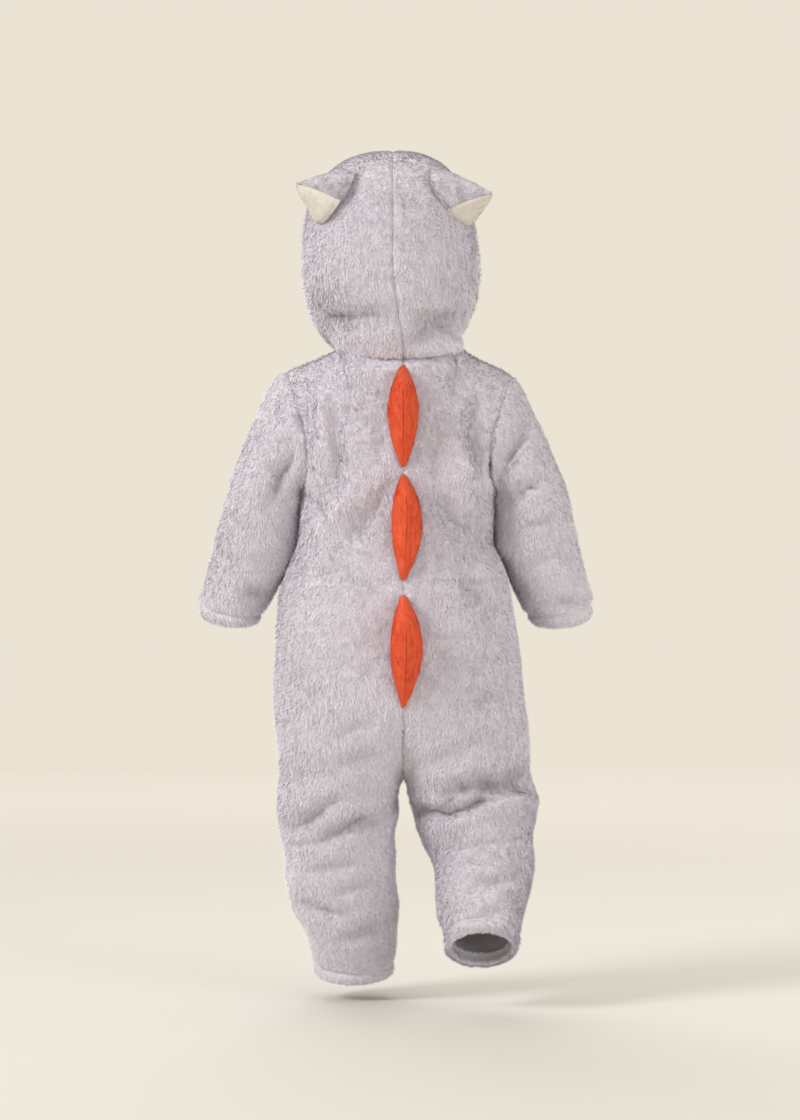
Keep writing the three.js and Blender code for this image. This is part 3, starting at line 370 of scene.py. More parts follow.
def hood_radius(direction):
    half = np.where(direction[..., 0] > 0, HOOD["left"], HOOD["right"])
    n = HOOD["square"]
    total = np.abs(direction[..., 0] / half) ** n + np.abs(direction[..., 1] / HOOD["deep"]) ** n
    return (total + np.abs(direction[..., 2] / HOOD["high"]) ** n) ** (-1 / n)


def hood_centre_x(z):
    return HOOD["x"] * ease(z, 0, 90)


def face_point(side, degrees):
    angle = np.radians(degrees)
    high = np.where(np.cos(angle) > 0, FACE["down"], FACE["up"])
    half = FACE["half"] * (1 if side == LEFT else HOOD["right"] / HOOD["left"])
    return HOOD_MIDDLE + stack(side * half * np.sin(angle), -FACE["forward"], -high * np.cos(angle))


def hood_point(side, across, up):
    across, up = np.broadcast_arrays(np.asarray(across, float), np.asarray(up, float))
    lift = np.array([0, 0, 0.3])

    def neck(a):
        return neck_point(side, a) + lift

    def brow(a):
        return face_point(side, mix(180.0, FACE["corner"], a))

    def seam(u):
        start = (neck(np.zeros(1)) - HOOD_MIDDLE)[0]
        end = face_point(side, np.array([180.0]))[0] - HOOD_MIDDLE
        angle = mix(math.atan2(start[2], start[1]), math.atan2(end[2], end[1]), u)
        way = stack(0, np.cos(angle), np.sin(angle))
        radius = mix(math.hypot(start[1], start[2]), hood_radius(way), ease(u, 0, HOOD_EASE))
        point = HOOD_MIDDLE + way * radius[..., None]
        point[..., 0] = hood_centre_x(point[..., 2])
        return point

    def cheek(u):
        offset = neck(np.ones(1))[0] - face_point(side, np.zeros(1))[0]
        return face_point(side, FACE["corner"] * u) + offset * ((1 - u) ** 2)[..., None]

    zero, one = np.zeros(1), np.ones(1)
    a, u = across[..., None], up[..., None]
    sheet = neck(across) * (1 - u) + brow(across) * u + seam(up) * (1 - a) + cheek(up) * a
    sheet = sheet - neck(zero)[0] * (1 - a) * (1 - u) - neck(one)[0] * a * (1 - u)
    sheet = sheet - brow(zero)[0] * (1 - a) * u - brow(one)[0] * a * u
    reach = sheet - HOOD_MIDDLE
    plain = length(reach)[..., 0]
    way = reach / plain[..., None]
    radius = mix(plain, hood_radius(way), ease(up, 0, HOOD_EASE))
    return HOOD_MIDDLE + way * radius[..., None]


# ------------------------------------------------------------------ unevenness
def hashed(ix, iy, iz, seed):
    h = (ix * 374761393 + iy * 668265263 + iz * 2147483647 + seed * 974711) & 0xFFFFFFFF
    h = ((h ^ (h >> 13)) * 1274126177) & 0xFFFFFFFF
    return ((h ^ (h >> 16)) & 0xFFFF) / 65535.0 * 2 - 1


def noise(points, size, seed=0):
    """Smooth noise from -1 to 1, with lumps of a size in mm."""
    p = np.asarray(points) / size + 1000
    i = np.floor(p).astype(np.int64)
    f = p - i
    f = f * f * (3 - 2 * f)
    total = np.zeros(p.shape[:-1])
    for dx in (0, 1):
        for dy in (0, 1):
            for dz in (0, 1):
                weight = np.ones(p.shape[:-1])
                for k, d in enumerate((dx, dy, dz)):
                    weight = weight * (f[..., k] if d else 1 - f[..., k])
                total += weight * hashed(i[..., 0] + dx, i[..., 1] + dy, i[..., 2] + dz, seed)
    return total


def crease_height(points, outward):
    """The height of the creases, uneven along their length and sharper below than above."""
    warp = np.stack([noise(points, 34, 11), noise(points, 34, 12)], -1) * 5
    x, z = points[..., 0] + warp[..., 0], points[..., 2] + warp[..., 1]
    total = np.zeros(x.shape)
    swell = 1 + 0.35 * noise(points, 22, 13)
    for face, x1, z1, x2, z2, wide, high in CREASES + FINE_CREASES:
        facing = face * outward[..., 1]
        ax, az = x2 - x1, z2 - z1
        ox, oz = x - x1, z - z1
        share = np.clip((ox * ax + oz * az) / (ax * ax + az * az), 0, 1)
        away = np.hypot(ox - share * ax, oz - share * az)
        cross = np.sign(ox * az - oz * ax) * np.sign(az if abs(az) > abs(ax) else -ax)
        # a deep fold's upper side rolls over, and the lower side comes out from under it
        deep = high < DEEP_FOLD
        above, below = (1.35, 0.5) if deep else (1.0, 0.78)
        away = away / (wide * np.where(cross > 0, above, below))
        ends = 0.45 + 0.55 * ease(np.minimum(share, 1 - share), 0, 0.3)
        profile = np.exp(-away * away)
        if deep:
            profile = 0.75 * profile + 0.3 * np.exp(-2.6 * away)
        bump = profile * ends * high * FOLD_GAIN
        total += np.where(facing > 0, bump * ease(facing, 0, 0.4), 0)
    return total * swell


def hem_height(from_end):
    groove = (from_end - HEM["depth"]) / 2.0
    roll = (from_end - HEM["depth"] / 2) / (HEM["depth"] / 2)
    turned = HEM["tuck"] * (1 - hem_edge(from_end))
    return -HEM["groove"] * np.exp(-groove * groove) + HEM["roll"] * np.clip(1 - roll * roll, 0, 1) - turned


def hem_edge(from_end):
    """The share of a hem's thickness that is left close to its rounded end."""
    return np.sqrt(1 - np.clip(1 - from_end / HEM["round"], 0, 1) ** 2)


def hem_thickness(from_end):
    full = HEM["thick"] * ease(HEM["depth"] + 1 - from_end, 0, 3)
    return (KNIT + full) * hem_edge(from_end) - KNIT + 0.3


# ------------------------------------------------------------------ sheets
PILE = 1.6  # how far the knit lies under the CAD solid's face
KNIT = 1.7  # the knit's own thickness


class Sheet:
    """A grid of a cloth surface: its knit's outer points, directions and distances along both ways."""

    def __init__(
        self, surface, across, down, heart, ring=False, from_end=None, seams=(1, 1, 0.3, 0),
        facing=None, allowance=None,
    ):
        self.ring = ring
        a, d = np.meshgrid(across, down)
        self.a, self.d = a, d
        f = a if facing is None else facing(a, d)
        wide, near = 0.05, 0.002
        point = surface(a, d)
        along_a = surface(f + wide, d) - surface(f - wide, d)
        along_d = surface(f, d + near) - surface(f, np.maximum(d - near, 0))
        out = unit(np.cross(along_a, along_d))
        out = np.where(((point - heart(d)) * out).sum(-1, keepdims=True) < 0, -out, out)
        high = crease_height(point, out)
        # the creases' height, kept to paint shade into the pile in troughs and light on crests
        self.painted_shade_depth = high
        high = high - PILE
        high = high + (0.9 * noise(point, 46, 3) + 0.5 * noise(point, 19, 4) + 0.25 * noise(point, 9, 5))
        if from_end is not None:
            high = high + hem_height(from_end(d))
        step_a = length(np.diff(point, axis=1, append=point[:, :1] if ring else point[:, -1:]))[..., 0]
        step_d = length(np.diff(point, axis=0, append=point[-1:]))[..., 0]
        self.along = np.cumsum(step_a, axis=1) - step_a
        self.total = self.along[:, -1:] + (step_a[:, -1:] if ring else 0)
        self.run = np.cumsum(step_d, axis=0) - step_d
        edges = [(self.run, seams[2], 0.8), (self.run[-1:] - self.run, seams[3], 0.8)]
        if not ring:
            edges += [(self.along, seams[0], 1.2), (self.total - self.along, seams[1], 1.2)]
        self.trim = np.ones(a.shape)  # how much of the pile's length stands at a place
        if from_end is not None:
            self.trim -= 0.7 * np.exp(-(((from_end(d) - HEM["depth"]) / 2.4) ** 2))
        for edge, used, dip in edges:
            if used:
                high = high - used * dip * np.exp(-((edge / 3.0) ** 2))
                self.trim -= used * 0.6 * np.exp(-((edge / 1.8) ** 2))
        self.parting = np.exp(-((self.run / 5) ** 2))
        self.outer = point + out * high[..., None]
        thick = np.full(a.shape, KNIT)
        if from_end is not None:
            thick = thick + hem_thickness(from_end(d))
            self.trim -= 0.3 * (from_end(d) < 2)
        self.inner = self.outer - out * thick[..., None]
        self.base = point
        # the seams' turned-in edges, hidden behind the neighbouring pieces
        if allowance is not None:
            self.turn_in(0, slice(0, 1), allowance(point[0], out[0]))
        if not ring:
            steep = np.concatenate([out[:1], out]) if allowance is not None else out
            self.turn_in(1, slice(0, 1), -3 * steep[:, :1])
            self.turn_in(1, slice(-1, None), -3 * steep[:, -1:])

    def turn_in(self, axis, edge, shift):
        for key in ("a", "d", "base", "trim", "painted_shade_depth", "parting", "outer", "inner"):
            grid = getattr(self, key)
            extra = grid[edge] if axis == 0 else grid[:, edge]
            extra = extra + shift if key in ("outer", "inner") else extra
            setattr(self, key, np.concatenate([extra, grid] if edge.start == 0 else [grid, extra], axis))

    def keep(self, rule):
        self.outer, self.inner = rule(self.outer), rule(self.inner)
        return self

    def finish(self):
        p = self.outer
        if self.ring:
            da = np.roll(p, -1, 1) - np.roll(p, 1, 1)
        else:
            da = np.gradient(p, axis=1)
        dd = np.gradient(p, axis=0)
        normal = unit(np.cross(da, dd))
        flip = ((normal * (self.outer - self.inner)).sum(-1, keepdims=True) < 0)
        self.normal = np.where(flip, -normal, normal)
        self.dir_down = unit(dd)
        self.dir_across = unit(da)
        return self


def grid_sheet(outer, inner, ring=False):
    """A sheet of given points, without seams, hems or creases of its own."""
    sheet = Sheet.__new__(Sheet)
    sheet.ring, sheet.outer, sheet.inner = ring, outer, inner
    sheet.a, sheet.d = np.meshgrid(np.arange(outer.shape[1]), np.arange(outer.shape[0]))
    return sheet.finish()


def grid_faces(rows, cols, last):
    """The quads of a grid of points and each one's row. Where last is cols, the grid closes to a ring."""
    i, j = np.meshgrid(np.arange(rows - 1), np.arange(last), indexing="ij")
    i, j = i.ravel(), j.ravel()
    k = (j + 1) % cols
    return np.stack([i * cols + j, (i + 1) * cols + j, (i + 1) * cols + k, i * cols + k], -1), i


def cell_areas(points, ring):
    """The area of each cell of a grid of points."""
    last = points.shape[1] - (0 if ring else 1)
    corner, beside = points[:-1, :last], np.roll(points, -1, 1)[:-1, :last]
    return length(np.cross(beside - corner, points[1:, :last] - corner))[..., 0]


def dress(piece, slot, *nodes):
    """Puts a piece on the suit's body, in place of the CAD nodes if any are named."""
    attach(piece, BODY)
    if nodes:
        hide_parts(*nodes)
    return piece


def make_mesh(name, verts, faces, uvs=None, smooth=True, slots=None):
    mesh = bpy.data.meshes.new(name)
    verts = np.asarray(verts, np.float32) * MM
    faces = np.asarray(faces, np.int32)
    mesh.vertices.add(len(verts))
    mesh.vertices.foreach_set("co", verts.ravel())
    corners = faces.shape[1]
    mesh.loops.add(faces.size)
    mesh.loops.foreach_set("vertex_index", faces.ravel())
    mesh.polygons.add(len(faces))
    mesh.polygons.foreach_set("loop_start", np.arange(len(faces), dtype=np.int32) * corners)
    mesh.polygons.foreach_set("loop_total", np.full(len(faces), corners, np.int32))
    if slots is not None:
        mesh.polygons.foreach_set("material_index", np.asarray(slots, np.int32))
    mesh.update(calc_edges=True)
    mesh.validate()
    mesh.polygons.foreach_set("use_smooth", np.full(len(mesh.polygons), smooth))
    if uvs is not None:
        layer = mesh.uv_layers.new(name="OFBake")
        layer.data.foreach_set("uv", np.asarray(uvs, np.float32).ravel())
    piece = bpy.data.objects.new(name, mesh)
    bpy.context.scene.collection.objects.link(piece)
    return piece


def shell_piece(name, sheet, mats, hem_rows=0):
    """The closed knit shell of a sheet: plush side, knit side and cut edges."""
    rows, cols = sheet.a.shape
    n = rows * cols
    verts = np.concatenate([sheet.outer.reshape(-1, 3), sheet.inner.reshape(-1, 3)])
    last = cols if sheet.ring else cols - 1
    outer, row = grid_faces(rows, cols, last)
    inner = outer[:, ::-1] + n
    j = np.arange(last)
    k = (j + 1) % cols
    top = np.stack([j, k, k + n, j + n], -1)
    end = (rows - 1) * cols
    low = np.stack([end + j, end + j + n, end + k + n, end + k], -1)
    faces, kind = [outer, inner, top, low], [0, 1, 1, 0]
    if not sheet.ring:
        i = np.arange(rows - 1)
        faces.append(np.stack([i * cols, i * cols + n, (i + 1) * cols + n, (i + 1) * cols], -1))
        e = cols - 1
        faces.append(np.stack([i * cols + e, (i + 1) * cols + e, (i + 1) * cols + e + n, i * cols + e + n], -1))
        kind += [0, 0]
    slots = np.concatenate([np.full(len(f), s) for f, s in zip(faces, kind)])
    slots[len(outer) + np.flatnonzero(row >= rows - 1 - hem_rows)] = 0
    faces = np.concatenate(faces)
    # turned round where the grid's own sense points inwards
    q = verts[outer[len(outer) // 2]]
    face_way = np.cross(q[1] - q[0], q[3] - q[0])
    out_way = (sheet.outer - sheet.inner).reshape(-1, 3)[outer[len(outer) // 2][0]]
    if (face_way * out_way).sum() < 0:
        faces = faces[:, ::-1]
    # the layers lie side by side on the bake map
    u, v = (np.arange(cols) / cols)[None].repeat(rows, 0), (np.arange(rows) / rows)[:, None].repeat(cols, 1)
    uv = np.stack([u, v], -1).reshape(-1, 2)
    place = np.concatenate([uv * [0.46, 0.96] + [0.02, 0.02], uv * [0.46, 0.96] + [0.52, 0.02]])
    corner = place[faces]
    wide = corner[..., 0].max(1) - corner[..., 0].min(1)
    corner[wide > 0.2, :, 0] = 0.495
    piece = make_mesh(name, verts, faces, corner, slots=slots)
    for m in mats:
        piece.data.materials.append(m)
    return piece


# ------------------------------------------------------------------ pile
def tufts(
    name, sheet, count, seed, mat,
    long=4.2, wide=0.95, lift=36, tidy=0.5, flow=1, soft=0.5, clumping=0.6,
):
    """Short fibres in clumps on a sheet, laid along its nap: one pointed blade each."""
    rng = np.random.default_rng(seed)
    cols = sheet.a.shape[1]
    last = cols if sheet.ring else cols - 1
    cell = cell_areas(sheet.outer, sheet.ring)
    chance = cell.ravel() / cell.sum()
    pick = rng.choice(len(chance), size=count, p=chance)
    i, j = pick // last, pick % last
    k = (j + 1) % cols
    fa, fd = rng.random(count)[:, None], rng.random(count)[:, None]

    def at(grid):
        upper = grid[i, j] * (1 - fa) + grid[i, k] * fa
        return upper * (1 - fd) + (grid[i + 1, j] * (1 - fa) + grid[i + 1, k] * fa) * fd

    root = at(sheet.outer)
    normal = unit(at(sheet.normal))
    down = unit(at(sheet.dir_down)) * flow
    trim = at(sheet.trim[..., None])[:, 0] if hasattr(sheet, "trim") else 1.0
    if callable(tidy):
        tidy = tidy(root)
    side = unit(np.cross(normal, down))
    # the nap runs down the cloth, turned by slow waves and by each clump
    turn = 0.4 * noise(root, 60, seed + 1) + (0.4 * noise(root, 16, seed + 2) + 0.8 * noise(root, 6, seed + 3)) * (1 - tidy)
    turn = turn + rng.normal(0, 0.2, count)
    way = down * np.cos(turn)[:, None] + side * np.sin(turn)[:, None]
    rise = np.radians(lift + 8 * noise(root, 5, seed + 4) + rng.normal(0, 9, count))[:, None]
    size = (long * trim * (0.88 + 0.14 * noise(root, 5, seed + 5) + rng.normal(0, 0.12, count)))[:, None]
    # where the cloth faces up the pile lies flatter and more evenly
    upward = ease(normal[:, 2:], 0.1, 0.7)
    rise, size = rise * (1 - 0.5 * upward), size * (1 - 0.25 * upward)
    if hasattr(sheet, "parting"):  # the pile stands up over a seam at which the nap parts
        rise = mix(rise, math.radians(70), 0.6 * at(sheet.parting[..., None]))
    axis = way * np.cos(rise) + normal * np.sin(rise)
    clump = np.stack([noise(root * [1, 1, 0.45], 3.0, seed + 6 + q) for q in range(3)], -1) * min(1.6, clumping * long)
    clump = (clump - normal * (clump * normal).sum(-1, keepdims=True) * 0.6) * (1 - 0.55 * upward)
    tip = root + axis * size + clump
    across = unit(np.cross(axis, normal) + rng.normal(0, 0.3, (count, 3)))
    face = np.cross(across, tip - root)
    across = np.where((face * normal).sum(-1, keepdims=True) < 0, -across, across)
    half = (0.5 * wide * rng.uniform(0.7, 1.25, count))[:, None]
    base = root - normal * 0.5
    verts = np.stack([base - across * half, base + across * half, tip], 1)
    n = len(verts)
    faces = np.arange(n * 3).reshape(-1, 3)
    cells = int(math.ceil(math.sqrt(n)))
    cx, cy = np.arange(n) % cells, np.arange(n) // cells
    spot = np.array([[0.1, 0.1], [0.9, 0.1], [0.5, 0.92]])
    uv = (np.stack([cx, cy], -1)[:, None] + spot) / cells
    piece = make_mesh(name, verts.reshape(-1, 3), faces, uv)
    # each blade is shaded partly as the cloth below it, so that the pile looks soft
    blade = unit(np.cross(verts[:, 1] - verts[:, 0], verts[:, 2] - verts[:, 0]))
    shading = unit(mix(blade, normal, soft * (1 + 0.3 * upward)))
    piece.data.normals_split_custom_set_from_vertices(np.repeat(shading, 3, axis=0))
    shade = piece.data.color_attributes.new("tint", "FLOAT_COLOR", "POINT")
    tone = 1 + 0.05 * noise(root, 5, seed + 9) + rng.normal(0, 0.05, n)
    # painted shade in the creases' troughs and painted light on their crests, by their depth
    if hasattr(sheet, "painted_shade_depth"):
        depth = np.clip(at(sheet.painted_shade_depth[..., None])[:, 0], -14, 3)
        tone = tone * (1 + 0.022 * np.maximum(depth, -10) + 0.04 * np.minimum(depth + 10, 0))
    # painted shade: the pile is darker where the cloth faces up
    tone = tone * (1 - 0.17 * upward[:, 0])
    # painted shade at the pile's roots and painted light at its tips, both less where the cloth faces up
    root_tone = tone * mix(0.79, 0.95, upward[:, 0])
    level = np.stack([root_tone, root_tone, tone * mix(1.09, 1.0, upward[:, 0])], 1).reshape(-1)
    rgba = np.stack([level, level, level, np.ones_like(level)], -1)
    shade.data.foreach_set("color", rgba.astype(np.float32).ravel())
    piece.data.materials.append(mat)
    return piece


# ------------------------------------------------------------------ materials
def material(name, colour, rough=0.9, metallic=0.0, sheen=0.0, tint=None):
    mat = bpy.data.materials.new(name)
    mat.use_nodes = True
    tree = mat.node_tree
    shader = tree.nodes["Principled BSDF"]
    shader.inputs["Base Color"].default_value = (*colour, 1)
    shader.inputs["Roughness"].default_value = rough
    shader.inputs["Metallic"].default_value = metallic
    shader.inputs["Sheen Weight"].default_value = sheen
    shader.inputs["Sheen Roughness"].default_value = 0.5
    shader.inputs["Sheen Tint"].default_value = (*(tint or colour), 1)
    return mat, tree, shader


def node(tree, kind, **values):
    made = tree.nodes.new(kind)
    for key, value in values.items():
        key = key.replace("_", " ")
        if key in made.inputs:
            made.inputs[key].default_value = value
        else:
            setattr(made, key.replace(" ", "_"), value)
    return made


def mottled(tree, low, high, scales):
    """Base colour between two tones, by noise at several scales given in metres."""
    place = node(tree, "ShaderNodeTexCoord")
    total = None
    for size, weight in scales:
        tex = node(tree, "ShaderNodeTexNoise", Scale=1 / size, Detail=3.0, Roughness=0.6)
        tree.links.new(place.outputs["Object"], tex.inputs["Vector"])
        scaled = node(tree, "ShaderNodeMath", operation="MULTIPLY")
        tree.links.new(tex.outputs["Fac"], scaled.inputs[0])
        scaled.inputs[1].default_value = weight
        if total is None:
            total = scaled
        else:
            added = node(tree, "ShaderNodeMath", operation="ADD")
            tree.links.new(total.outputs[0], added.inputs[0])
            tree.links.new(scaled.outputs[0], added.inputs[1])
            total = added
    ramp = node(tree, "ShaderNodeValToRGB")
    ramp.color_ramp.elements[0].position, ramp.color_ramp.elements[1].position = 0.3, 0.7
    ramp.color_ramp.elements[0].color = (*low, 1)
    ramp.color_ramp.elements[1].color = (*high, 1)
    tree.links.new(total.outputs[0], ramp.inputs["Fac"])
    return place, ramp


def bumped(tree, shader, place, size, strength, depth, stretch=(1, 1, 1)):
    scale = node(tree, "ShaderNodeMapping")
    scale.inputs["Scale"].default_value = stretch
    tex = node(tree, "ShaderNodeTexNoise", Scale=1 / size)
    bump = node(tree, "ShaderNodeBump", Strength=strength, Distance=depth)
    tree.links.new(place.outputs["Object"], scale.inputs["Vector"])
    tree.links.new(scale.outputs["Vector"], tex.inputs["Vector"])
    tree.links.new(tex.outputs[0], bump.inputs["Height"])
    tree.links.new(bump.outputs["Normal"], shader.inputs["Normal"])


SOFT_GRAINS = ((0.0025, 0.6), (0.009, 0.2), (0.07, 0.2))
FELT_GRAINS = ((0.0012, 0.6), (0.02, 0.2), (0.07, 0.2))


def plush_material(name, low, high, sheen=0.25, tinted=True, grains=SOFT_GRAINS):
    tint = tuple(min(1, c * 1.25) for c in high)
    mat, tree, shader = material(name, high, rough=0.92, sheen=sheen, tint=tint)
    place, ramp = mottled(tree, low, high, grains)
    if tinted:
        # the blades' tone: random, with painted shade in creases, at the roots and where the cloth faces up, and
        # painted light on crests and at the tips
        attribute = node(tree, "ShaderNodeAttribute", attribute_name="tint")
        blend = node(tree, "ShaderNodeMix", data_type="RGBA", blend_type="MULTIPLY")
        blend.inputs["Factor"].default_value = 1
        tree.links.new(ramp.outputs["Color"], blend.inputs["A"])
        tree.links.new(attribute.outputs["Color"], blend.inputs["B"])
        tree.links.new(blend.outputs["Result"], shader.inputs["Base Color"])
    else:
        tree.links.new(ramp.outputs["Color"], shader.inputs["Base Color"])
        bumped(tree, shader, place, 0.0022, 0.5, 0.0008)
    return mat


PLUSH_LOW, PLUSH_HIGH = (0.70, 0.66, 0.735), (0.83, 0.785, 0.865)
BAND_LOW, BAND_HIGH = (0.78, 0.75, 0.77), (0.90, 0.87, 0.89)
CREAM_LOW, CREAM_HIGH = (0.62, 0.575, 0.52), (0.69, 0.64, 0.585)
ORANGE_LOW, ORANGE_HIGH = (0.63, 0.077, 0.024), (0.80, 0.118, 0.038)

PLUSH = plush_material("plush_pile", PLUSH_LOW, PLUSH_HIGH)
GROUND_LOW, GROUND_HIGH = tuple(c * 0.77 for c in PLUSH_LOW), tuple(c * 0.79 for c in PLUSH_HIGH)
PLUSH_BASE = plush_material("plush_ground", GROUND_LOW, GROUND_HIGH, tinted=False)
BAND_PILE = plush_material("band_pile", BAND_LOW, BAND_HIGH)
BAND_BASE = plush_material("band_ground", BAND_LOW, BAND_HIGH, tinted=False)
CREAM_PILE = plush_material("cream_pile", CREAM_LOW, CREAM_HIGH, sheen=0.3)
CREAM_BASE = plush_material("cream_ground", CREAM_LOW, CREAM_HIGH, sheen=0.3, tinted=False)
FELT = dict(sheen=0.1, grains=FELT_GRAINS)
ORANGE_PILE = plush_material("orange_pile", ORANGE_LOW, ORANGE_HIGH, **FELT)
ORANGE_BASE = plush_material("orange_ground", ORANGE_LOW, ORANGE_HIGH, tinted=False, **FELT)


def knit_material(name, low, high):
    mat, tree, shader = material(name, high, rough=0.95, sheen=0.1)
    place, ramp = mottled(tree, low, high, [(0.0016, 0.5), (0.03, 0.5)])
    wave = node(tree, "ShaderNodeTexWave", Scale=330.0, Distortion=2.0, Detail=1.0)
    tree.links.new(place.outputs["Object"], wave.inputs["Vector"])
    bump = node(tree, "ShaderNodeBump", Strength=0.6, Distance=0.0004)
    tree.links.new(wave.outputs["Fac"], bump.inputs["Height"])
    tree.links.new(bump.outputs["Normal"], shader.inputs["Normal"])
    tree.links.new(ramp.outputs["Color"], shader.inputs["Base Color"])
    return mat


KNIT_BACK = knit_material("knit_back", (0.52, 0.48, 0.52), (0.66, 0.62, 0.66))
TAPE = knit_material("zip_tape", (0.38, 0.35, 0.40), (0.50, 0.47, 0.52))


def metal_material(name, colour, rough):
    mat, tree, shader = material(name, colour, rough=rough, metallic=1.0)
    dull = tuple(c * 0.82 for c in colour)
    place, ramp = mottled(tree, dull, colour, [(0.0008, 0.5), (0.006, 0.5)])
    tree.links.new(ramp.outputs["Color"], shader.inputs["Base Color"])
    bumped(tree, shader, place, 0.0006, 0.15, 0.0002, stretch=(1, 1, 0.2))
    return mat


METAL = metal_material("zip_metal", (0.26, 0.26, 0.275), 0.46)


# ------------------------------------------------------------------ the suit's sheets
HEM_REACH, HEM_RINGS = 18, 16  # how far up a sheet's end the close rows go, in mm, and how many they are
HEM_ROWS = 13  # how many rows of a hem's inner face are plush
PRESS_REACH = 17  # a sleeve this close to the trunk, in mm, is drawn up to it


def toward_hem(end, long):
    """Places down a sheet through its hem, closer together towards the end."""
    return end - HEM_REACH / long * np.linspace(1, 0, HEM_RINGS) ** 1.4


def body_sheet(side, face):
    leg = abs(LEGS[side]["z"][-1] - CROTCH_Z)
    down = np.concatenate([
        np.linspace(0.004, 1, 34)[:-1],
        np.linspace(1, 2, 42)[:-1],
        np.linspace(2, 2.97, 34 if face == BACK else 24)[:-1],
        np.linspace(3, 4 - HEM_REACH / leg, 66 if face == BACK else 42)[:-1],
        toward_hem(4, leg),
    ])
    across = np.linspace(0.0012, 0.9988, 46)

    def heart(d):
        trunk, seat = mix(UNDERARM_Z, SEAT_TOP_Z, d - 1), mix(SEAT_TOP_Z, CROTCH_Z, d - 2)
        z = np.where(d <= 1, mix(-45, UNDERARM_Z, d), np.where(d <= 2, trunk, seat))
        low = mix(CROTCH_Z, LEGS[side]["z"][-1], np.clip(d - 3, 0, 1))
        x = np.where(d <= 1, side * 45, side * 55)
        on_leg = d > 3
        return stack(
            np.where(on_leg, column(LEGS[side], "z", "x", low), x),
            np.where(on_leg, column(LEGS[side], "z", "y", low), 0),
            np.where(on_leg, low, z),
        )

    sheet = Sheet(
        lambda a, d: body_point(side, face, a, np.minimum(d, 4)),
        across, down, heart,
        from_end=lambda d: np.where(d > 3, (4 - d) * leg, 1000),
        facing=lambda a, d: np.where(d < 1, np.minimum(a, 0.88), a),
        allowance=lambda p, out: np.where(
            (across <= NECK["share"])[:, None],
            unit(p * [1, 1, 0]) * -2.5 + np.array([0, 0, 5.0]),
            np.array([0, -face * 2.0, -2.0]),
        ),
    )

    def rule(p):
        edge = 0.05
        if face == FRONT:
            edge = mix(edge, ZIP["half"], ease(p[..., 2], ZIP["bottom"] - 9, ZIP["bottom"] - 1))
        x = np.where(side * p[..., 0] < edge, side * edge, p[..., 0])
        y = np.where((sheet.d < 2) & (face * p[..., 1] < 0.05), face * 0.05, p[..., 1])
        # the two legs' panels touch at the top of the inseam
        near = ease(sheet.d, 2.2, 2.6) * (1 - ease(sheet.d, 3.0, 3.1)) * (1 - ease(sheet.a, 0.0, 0.12))
        x = mix(x, side * 0.05, near * (np.abs(x) < 9))
        return stack(x, y, p[..., 2])

    # the seat runs into the leg without a kink
    near = np.exp(-(((sheet.base[..., 2:] - CROTCH_Z) / 12) ** 2))[1:-1] * 0.5
    for grid in (sheet.outer, sheet.inner):
        for _ in range(24):
            grid[1:-1] = mix(grid[1:-1], (grid[:-2] + grid[2:]) / 2, near)
    return sheet.keep(rule).finish()


def against_trunk(side, p):
    """Draws the part of a sleeve that lies close to the trunk up to the trunk's own pile."""
    x, y, z = p[..., 0], p[..., 1], p[..., 2]
    half = trunk_half(side, y, z)
    gap = side * x - half
    low = SLEEVE_TOUCHES_TO[side]
    share = ease(z, low - 14, low + 4) * ease(UNDERARM_Z - z, 2, 12)
    close = gap * ease(gap, -1, PRESS_REACH) - PILE
    return stack(np.where(gap < PRESS_REACH, mix(x, side * (half + close), share), x), y, z)


def sleeve_sheet(side):
    upper = np.linspace(0.012, 1 - HEM_REACH / SLEEVE_LENGTH, 62)[:-1]
    down = np.concatenate([upper, toward_hem(1, SLEEVE_LENGTH)])
    turns = np.linspace(0, 1, 73)[:-1]

    def heart(d):
        t = SLEEVES[side]
        return stack(
            mix(column(t, "at", "inX", d), column(t, "at", "outX", d), 0.5),
            column(t, "at", "y", d),
            mix(column(t, "at", "inZ", d), column(t, "at", "outZ", d), 0.5),
        )

    return Sheet(
        lambda a, d: sleeve_point(side, a, np.minimum(d, 1)),
        turns, down, heart, ring=True,
        from_end=lambda d: (1 - d) * SLEEVE_LENGTH,
        allowance=lambda p, out: np.array([-side * 5.0, 0, 0]) - out * 2.2,
    ).keep(lambda p: against_trunk(side, p)).finish()


def hood_sheet(side):
    sheet = Sheet(
        lambda a, u: hood_point(side, a, np.clip(u, 0, 1)),
        np.linspace(0, 1, 50), np.linspace(0.004, 0.996, 96),
        lambda u: HOOD_MIDDLE,
        seams=(1, 1, 0.3, 1),
        allowance=lambda p, out: unit(p * [1, 1, 0]) * -1.5 + np.array([0, 0, -5.5]),
    )

    def rule(p):
        edge = hood_centre_x(p[..., 2]) + side * 0.1
        x = np.where(side * (p[..., 0] - edge) < 0, edge, p[..., 0])
        x[:, 0] = edge[:, 0]
        return stack(x, p[..., 1], p[..., 2])

    return sheet.keep(rule).finish()


def hem_sheet(sheet):
    """The strip round a hem's end and up its inner face, to carry pile."""
    middle = (sheet.outer + sheet.inner) / 2
    outer = np.concatenate([sheet.outer[-5:], sheet.inner[-HEM_ROWS:][::-1]])
    inner = np.concatenate([middle[-5:], middle[-HEM_ROWS:][::-1]])
    inner[4:6] = mix(inner[4:6], middle[-6:-5], 0.6)
    return grid_sheet(outer, inner, sheet.ring)


SHEETS = {}
for side in (LEFT, RIGHT):
    for face, word in ((BACK, "back"), (FRONT, "front")):
        SHEETS[f"{word}_{NAMES[side]}"] = body_sheet(side, face)
    SHEETS[f"sleeve_{NAMES[side]}"] = sleeve_sheet(side)
    SHEETS[f"hood_{NAMES[side]}"] = hood_sheet(side)

def body_tidy(points):
    """The nap lies more evenly below the waist."""
    return mix(0.5, 0.85, ease(-points[:, 2], 195, 215))


